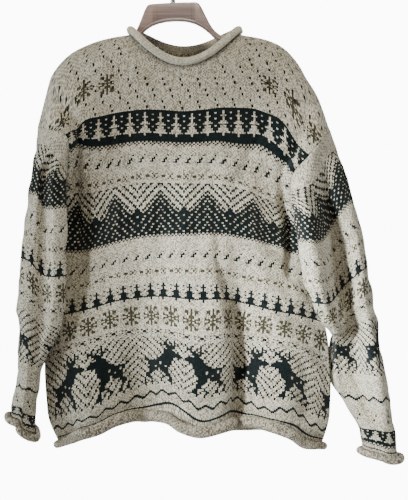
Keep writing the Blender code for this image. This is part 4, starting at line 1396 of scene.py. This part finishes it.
def makeCloth():
    # the five knitted pieces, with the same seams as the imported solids
    materials = makeKnitMaterials()
    panels, falls = shapePanels()
    front, back = panels["front"], panels["back"]
    normals = {name: gridNormals(panels[name], False, way) for name, way in panelWays.items()}
    neck = np.abs(panelColumns()) < body["neckHalf"] - 1e-9
    shareShoulder(front, normals, neck)
    shapes = {side: sewSleeve(side, front, back, normals) for side in ("left", "right")}
    ring, ringNormals = shareNeck(front, back, normals)
    openSeams(panels, neck)
    pieces = {}
    for name in panelWays:
        pieces[name] = makePanel(name, panels[name], normals[name], falls[name], materials)
    for side, shape in shapes.items():
        pieces["sleeve_" + side] = makeSleeve(side, *shape, materials)
    pieces["collar"] = makeCollar(ring, ringNormals, materials["roll"])
    print("cloth made:", {name: len(piece.data.polygons) for name, piece in pieces.items()})
    return pieces


# The wooden hanger. Outline rows from its middle: out, top, bottom. Edge rows: share of the half thickness,
# distance in from the edge; the lower edge carries a shallow groove.
hanger = {
    "halfThickness": 0.0055,
    "halfLength": 0.186,
    "columns": 187,
    "thinEnd": 0.012,  # board height under which its rounded edges shrink
    "tilt": math.radians(2.5),
    "glueLines": (-0.0285, 0.0315),
    "groove": (0.0040, 0.0052),
    "outline": [
        (0.000, -0.0620, -0.0947),
        (0.016, -0.0620, -0.0957),
        (0.030, -0.0624, -0.0987),
        (0.040, -0.0630, -0.1026),
        (0.045, -0.0650, -0.1055),
        (0.050, -0.0730, -0.1090),
        (0.056, -0.0865, -0.1138),
        (0.062, -0.0995, -0.1192),
        (0.068, -0.1100, -0.1255),
        (0.078, -0.1200, -0.1328),
        (0.090, -0.1270, -0.1388),
        (0.102, -0.1316, -0.1430),
        (0.120, -0.1335, -0.1460),
        (0.140, -0.1362, -0.1495),
        (0.160, -0.1408, -0.1543),
        (0.168, -0.1446, -0.1574),
        (0.176, -0.1499, -0.1606),
        (0.183, -0.1549, -0.1630),
        (0.186, -0.1588, -0.1622),
    ],
    "lowerEdge": [
        (0.00, 0.0000),
        (0.62, 0.0003),
        (0.90, 0.0010),
        (1.00, 0.0022),
        (1.00, 0.0039),
        (0.90, 0.0044),
        (0.90, 0.0048),
        (1.00, 0.0053),
    ],
    "upperEdge": [(1.00, 0.0022), (0.90, 0.0010), (0.62, 0.0003), (0.00, 0.0000)],
}


def makeHanger(material):
    # one board, lofted along its length from rings that run up its front and down its back
    along = np.linspace(-hanger["halfLength"], hanger["halfLength"], hanger["columns"])
    top = readColumn(hanger["outline"], 1, np.abs(along))
    bottom = readColumn(hanger["outline"], 2, np.abs(along))
    fit = np.minimum(1.0, (top - bottom) / hanger["thinEnd"])
    rising = [(share, bottom + inset * fit) for share, inset in hanger["lowerEdge"]]
    rising += [(share, top - inset * fit) for share, inset in hanger["upperEdge"]]
    ring = [(-share, z) for share, z in rising] + [(share, z) for share, z in rising[-2:0:-1]]
    count = len(ring)
    x = along * math.cos(hanger["tilt"])
    points = []
    for share, z in ring:
        points.append(np.stack([
            x - z * math.sin(hanger["tilt"]),
            np.full_like(x, share * hanger["halfThickness"]),
            along * math.sin(hanger["tilt"]) + z * math.cos(hanger["tilt"]),
        ], axis=1))
    points = np.stack(points, axis=1)
    faces = []
    for i in range(len(along) - 1):
        for k in range(count):
            after = (k + 1) % count
            faces.append((i * count + k, (i + 1) * count + k, (i + 1) * count + after, i * count + after))
    faces.append(tuple(range(count)))
    faces.append(tuple(range(len(along) * count - 1, (len(along) - 1) * count - 1, -1)))
    mesh = bpy.data.meshes.new("hangerBoard")
    mesh.from_pydata(points.reshape(-1, 3).tolist(), [], faces)
    heights = np.stack([z - bottom for share, z in ring], axis=1).ravel()
    lengths = np.repeat(along, count)
    corners = np.empty(len(mesh.loops), int)
    mesh.loops.foreach_get("vertex_index", corners)
    layer = mesh.uv_layers.new(name="board")
    layer.data.foreach_set("uv", np.stack([lengths[corners], heights[corners]], -1).ravel())
    mesh.materials.append(material)
    mesh.shade_smooth()
    mesh.set_sharp_from_angle(angle=math.radians(50))
    board = bpy.data.objects.new("hangerBoard", mesh)
    bpy.context.scene.collection.objects.link(board)
    return board


wood = {
    "grainScale": (9.0, 60.0, 620.0),
    "grainRange": (0.30, 0.72),
    "dark": (0.185, 0.130, 0.115, 1.0),
    "pale": (0.300, 0.235, 0.220, 1.0),
    "redBlock": (0.27, 0.165, 0.135, 1.0),
    "redShare": 0.35,
    "glue": (0.10, 0.075, 0.07, 1.0),
    "glueHalf": 0.0004,
    "glueShare": 0.55,
    "worn": (0.62, 0.55, 0.51, 1.0),
    "wornEdge": 0.0011,
    "wornShare": 0.75,
    "bumpStrength": 0.25,
    "bumpDistance": 0.0004,
    "roughness": 0.42,
    "coat": 0.25,
    "coatRoughness": 0.3,
}


def makeWoodMaterial():
    material = bpy.data.materials.new("greyedWood")
    material.use_nodes = True
    tree = material.node_tree
    shader = tree.nodes["Principled BSDF"]
    board = addNode(tree, "ShaderNodeSeparateXYZ")
    wire(tree, addNode(tree, "ShaderNodeUVMap", uv_map="board").outputs[0], board.inputs[0])
    along, height = board.outputs[0], board.outputs[1]
    place = addNode(tree, "ShaderNodeTexCoord").outputs["Object"]
    stretch = addNode(tree, "ShaderNodeMapping")
    stretch.inputs["Scale"].default_value = wood["grainScale"]
    wire(tree, place, stretch.inputs[0])
    grain = addNode(tree, "ShaderNodeTexNoise")
    wire(tree, stretch.outputs[0], grain.inputs["Vector"])
    grain.inputs["Scale"].default_value = 1.0
    grain.inputs["Detail"].default_value = 4.0
    ramp = addNode(tree, "ShaderNodeValToRGB")
    wire(tree, grain.outputs[0], ramp.inputs[0])
    tones = (wood["dark"], wood["pale"])
    for stop, position, tone in zip(ramp.color_ramp.elements, wood["grainRange"], tones):
        stop.position = position
        stop.color = tone
    colour = ramp.outputs[0]
    blocks = calc(tree, "GREATER_THAN", along, hanger["glueLines"][0])
    red = times(tree, minus(tree, 1.0, blocks), wood["redShare"])
    colour = mixColour(tree, red, colour, wood["redBlock"])
    for line in hanger["glueLines"]:
        off = calc(tree, "ABSOLUTE", minus(tree, along, line))
        glued = times(tree, calc(tree, "LESS_THAN", off, wood["glueHalf"]), wood["glueShare"])
        colour = mixColour(tree, glued, colour, wood["glue"])
    overGroove = calc(tree, "GREATER_THAN", height, hanger["groove"][0])
    inGroove = times(tree, overGroove, calc(tree, "LESS_THAN", height, hanger["groove"][1]))
    onEdge = calc(tree, "LESS_THAN", height, wood["wornEdge"])
    worn = times(tree, calc(tree, "MAXIMUM", inGroove, onEdge), wood["wornShare"])
    colour = mixColour(tree, worn, colour, wood["worn"])
    wire(tree, colour, shader.inputs["Base Color"])
    bump = addNode(tree, "ShaderNodeBump")
    bump.inputs["Strength"].default_value = wood["bumpStrength"]
    bump.inputs["Distance"].default_value = wood["bumpDistance"]
    wire(tree, grain.outputs[0], bump.inputs["Height"])
    wire(tree, bump.outputs[0], shader.inputs["Normal"])
    shader.inputs["Roughness"].default_value = wood["roughness"]
    shader.inputs["Coat Weight"].default_value = wood["coat"]
    shader.inputs["Coat Roughness"].default_value = wood["coatRoughness"]
    return material


steel = {"colour": (0.66, 0.66, 0.67, 1.0), "smudgeScale": 180.0, "roughness": (0.16, 0.36)}


def makeSteelMaterial():
    material = bpy.data.materials.new("polishedSteel")
    material.use_nodes = True
    tree = material.node_tree
    shader = tree.nodes["Principled BSDF"]
    smudge = addNode(tree, "ShaderNodeTexNoise")
    smudge.inputs["Scale"].default_value = steel["smudgeScale"]
    spread = addNode(tree, "ShaderNodeMapRange")
    wire(tree, smudge.outputs[0], spread.inputs["Value"])
    spread.inputs["To Min"].default_value = steel["roughness"][0]
    spread.inputs["To Max"].default_value = steel["roughness"][1]
    wire(tree, spread.outputs[0], shader.inputs["Roughness"])
    shader.inputs["Base Color"].default_value = steel["colour"]
    shader.inputs["Metallic"].default_value = 1.0
    return material


greyedWood = makeWoodMaterial()
polishedSteel = makeSteelMaterial()
for nodeName in ("hook", "ferrule"):
    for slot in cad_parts[nodeName].material_slots:
        slot.material = polishedSteel
board = makeHanger(greyedWood)
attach(board, "root")
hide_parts("hanger")
print("hanger finished")

pieces = makeCloth()
for nodeName, piece in pieces.items():
    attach(piece, "root")
    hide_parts(nodeName)


# Floor, room and lights
studio = {
    "floorDrop": 0.34,
    "floorSize": 2.2,
    "floorColour": (0.80, 0.79, 0.775),
    "floorRoughness": 0.9,
    "roomColour": (1.0, 0.93, 0.85),
    "roomStrength": 0.11,
    "backdropStrength": 11.0,
    "backdropEdge": (0.90, 0.955),  # cosines from straight behind where the bright backdrop fades in
    # a wide soft pool of light on the right half: place, aim, power, spread where it falls, size, colour
    "pool": ((-1.45, -1.65, -0.20), (0.37, 0.0, -0.60), 1150.0, 0.38, 0.30, (0.95, 0.985, 1.0)),
    # name, place, aim, size, power, colour
    "lights": [
        ("windowKey", (-1.75, -1.35, -0.10), (0.10, 0.0, -0.5), 0.7, 20.0, (0.97, 0.985, 1.0)),
        ("windowLeft", (-2.0, -0.30, -0.60), (-0.25, 0.0, -0.65), 0.6, 50.0, (0.86, 0.95, 1.0)),
        ("windowRight", (2.3, -0.55, -0.25), (0.3, 0.0, -0.55), 0.8, 30.0, (0.90, 0.96, 1.0)),
        ("topFront", (0.25, -1.2, 1.3), (0.0, 0.0, -0.2), 0.7, 36.0, (1.0, 0.92, 0.76)),
        ("topBack", (0.3, 1.6, 0.9), (0.0, 0.0, -0.4), 1.4, 35.0, (1.0, 1.0, 1.0)),
    ],
}


def placeLamp(light, place, aim):
    lamp = bpy.data.objects.new(light.name, light)
    lamp.location = place
    lamp.rotation_euler = (Vector(aim) - Vector(place)).to_track_quat("-Z", "Y").to_euler()
    bpy.context.scene.collection.objects.link(lamp)


def makeStage():
    lowest = cadBounds[0][2]
    bpy.ops.mesh.primitive_plane_add(size=studio["floorSize"], location=(0, 0, lowest - studio["floorDrop"]))
    floor = bpy.context.active_object
    floor.name = "floor"
    material = bpy.data.materials.new("paleFloor")
    material.use_nodes = True
    tree = material.node_tree
    shader = tree.nodes["Principled BSDF"]
    shader.inputs["Base Color"].default_value = (*studio["floorColour"], 1.0)
    shader.inputs["Roughness"].default_value = studio["floorRoughness"]
    floor.data.materials.append(material)
    world = bpy.data.worlds.new("studio")
    bpy.context.scene.world = world
    world.use_nodes = True
    tree = world.node_tree
    background = tree.nodes["Background"]
    direction = addNode(tree, "ShaderNodeSeparateXYZ")
    wire(tree, addNode(tree, "ShaderNodeTexCoord").outputs["Generated"], direction.inputs[0])
    backdrop = addNode(tree, "ShaderNodeMapRange", interpolation_type="SMOOTHSTEP")
    wire(tree, direction.outputs["Y"], backdrop.inputs["Value"])
    backdrop.inputs["From Min"].default_value = studio["backdropEdge"][0]
    backdrop.inputs["From Max"].default_value = studio["backdropEdge"][1]
    backdrop.inputs["To Min"].default_value = studio["roomStrength"]
    backdrop.inputs["To Max"].default_value = studio["backdropStrength"]
    wire(tree, backdrop.outputs[0], background.inputs["Strength"])
    behind = calc(tree, "GREATER_THAN", direction.outputs["Y"], studio["backdropEdge"][0])
    tint = mixColour(tree, behind, (*studio["roomColour"], 1.0), (1.0, 1.0, 1.0, 1.0))
    wire(tree, tint, background.inputs["Color"])
    for name, place, aim, size, power, colour in studio["lights"]:
        light = bpy.data.lights.new(name, "AREA")
        light.size = size
        light.energy = power
        light.color = colour
        placeLamp(light, place, aim)
    place, aim, power, spread, size, colour = studio["pool"]
    light = bpy.data.lights.new("pool", "SPOT")
    light.energy = power
    light.color = colour
    light.spot_size = 2 * math.atan(spread / (Vector(aim) - Vector(place)).length)
    light.spot_blend = 1.0
    light.shadow_soft_size = size / 2
    placeLamp(light, place, aim)


# The camera, at the viewing angle of the photograph
view = {
    "metresPerPixel": 0.00175,
    "hookPixel": (173.0, 3.0),  # where the ferrule shows in the photograph
    "hookPoint": (0.0027, -0.062),  # that place on the hanger, x and z
    "imageMiddle": (204.0, 250.0),
    "imageHeight": 500.0,
    "distance": 1.8,
    "sensor": 24.0,
}


def makeCamera():
    scale = view["metresPerPixel"]
    x = view["hookPoint"][0] + (view["imageMiddle"][0] - view["hookPixel"][0]) * scale
    z = view["hookPoint"][1] - (view["imageMiddle"][1] - view["hookPixel"][1]) * scale
    data = bpy.data.cameras.new("camera")
    data.sensor_fit = "VERTICAL"
    data.sensor_height = view["sensor"]
    data.lens = view["sensor"] * view["distance"] / (view["imageHeight"] * scale)
    camera = bpy.data.objects.new("camera", data)
    camera.location = (x, -view["distance"], z)
    camera.rotation_euler = (math.pi / 2, 0.0, 0.0)
    bpy.context.scene.collection.objects.link(camera)
    bpy.context.scene.camera = camera


makeStage()
makeCamera()
bpy.context.view_layer.update()
print("stage set")
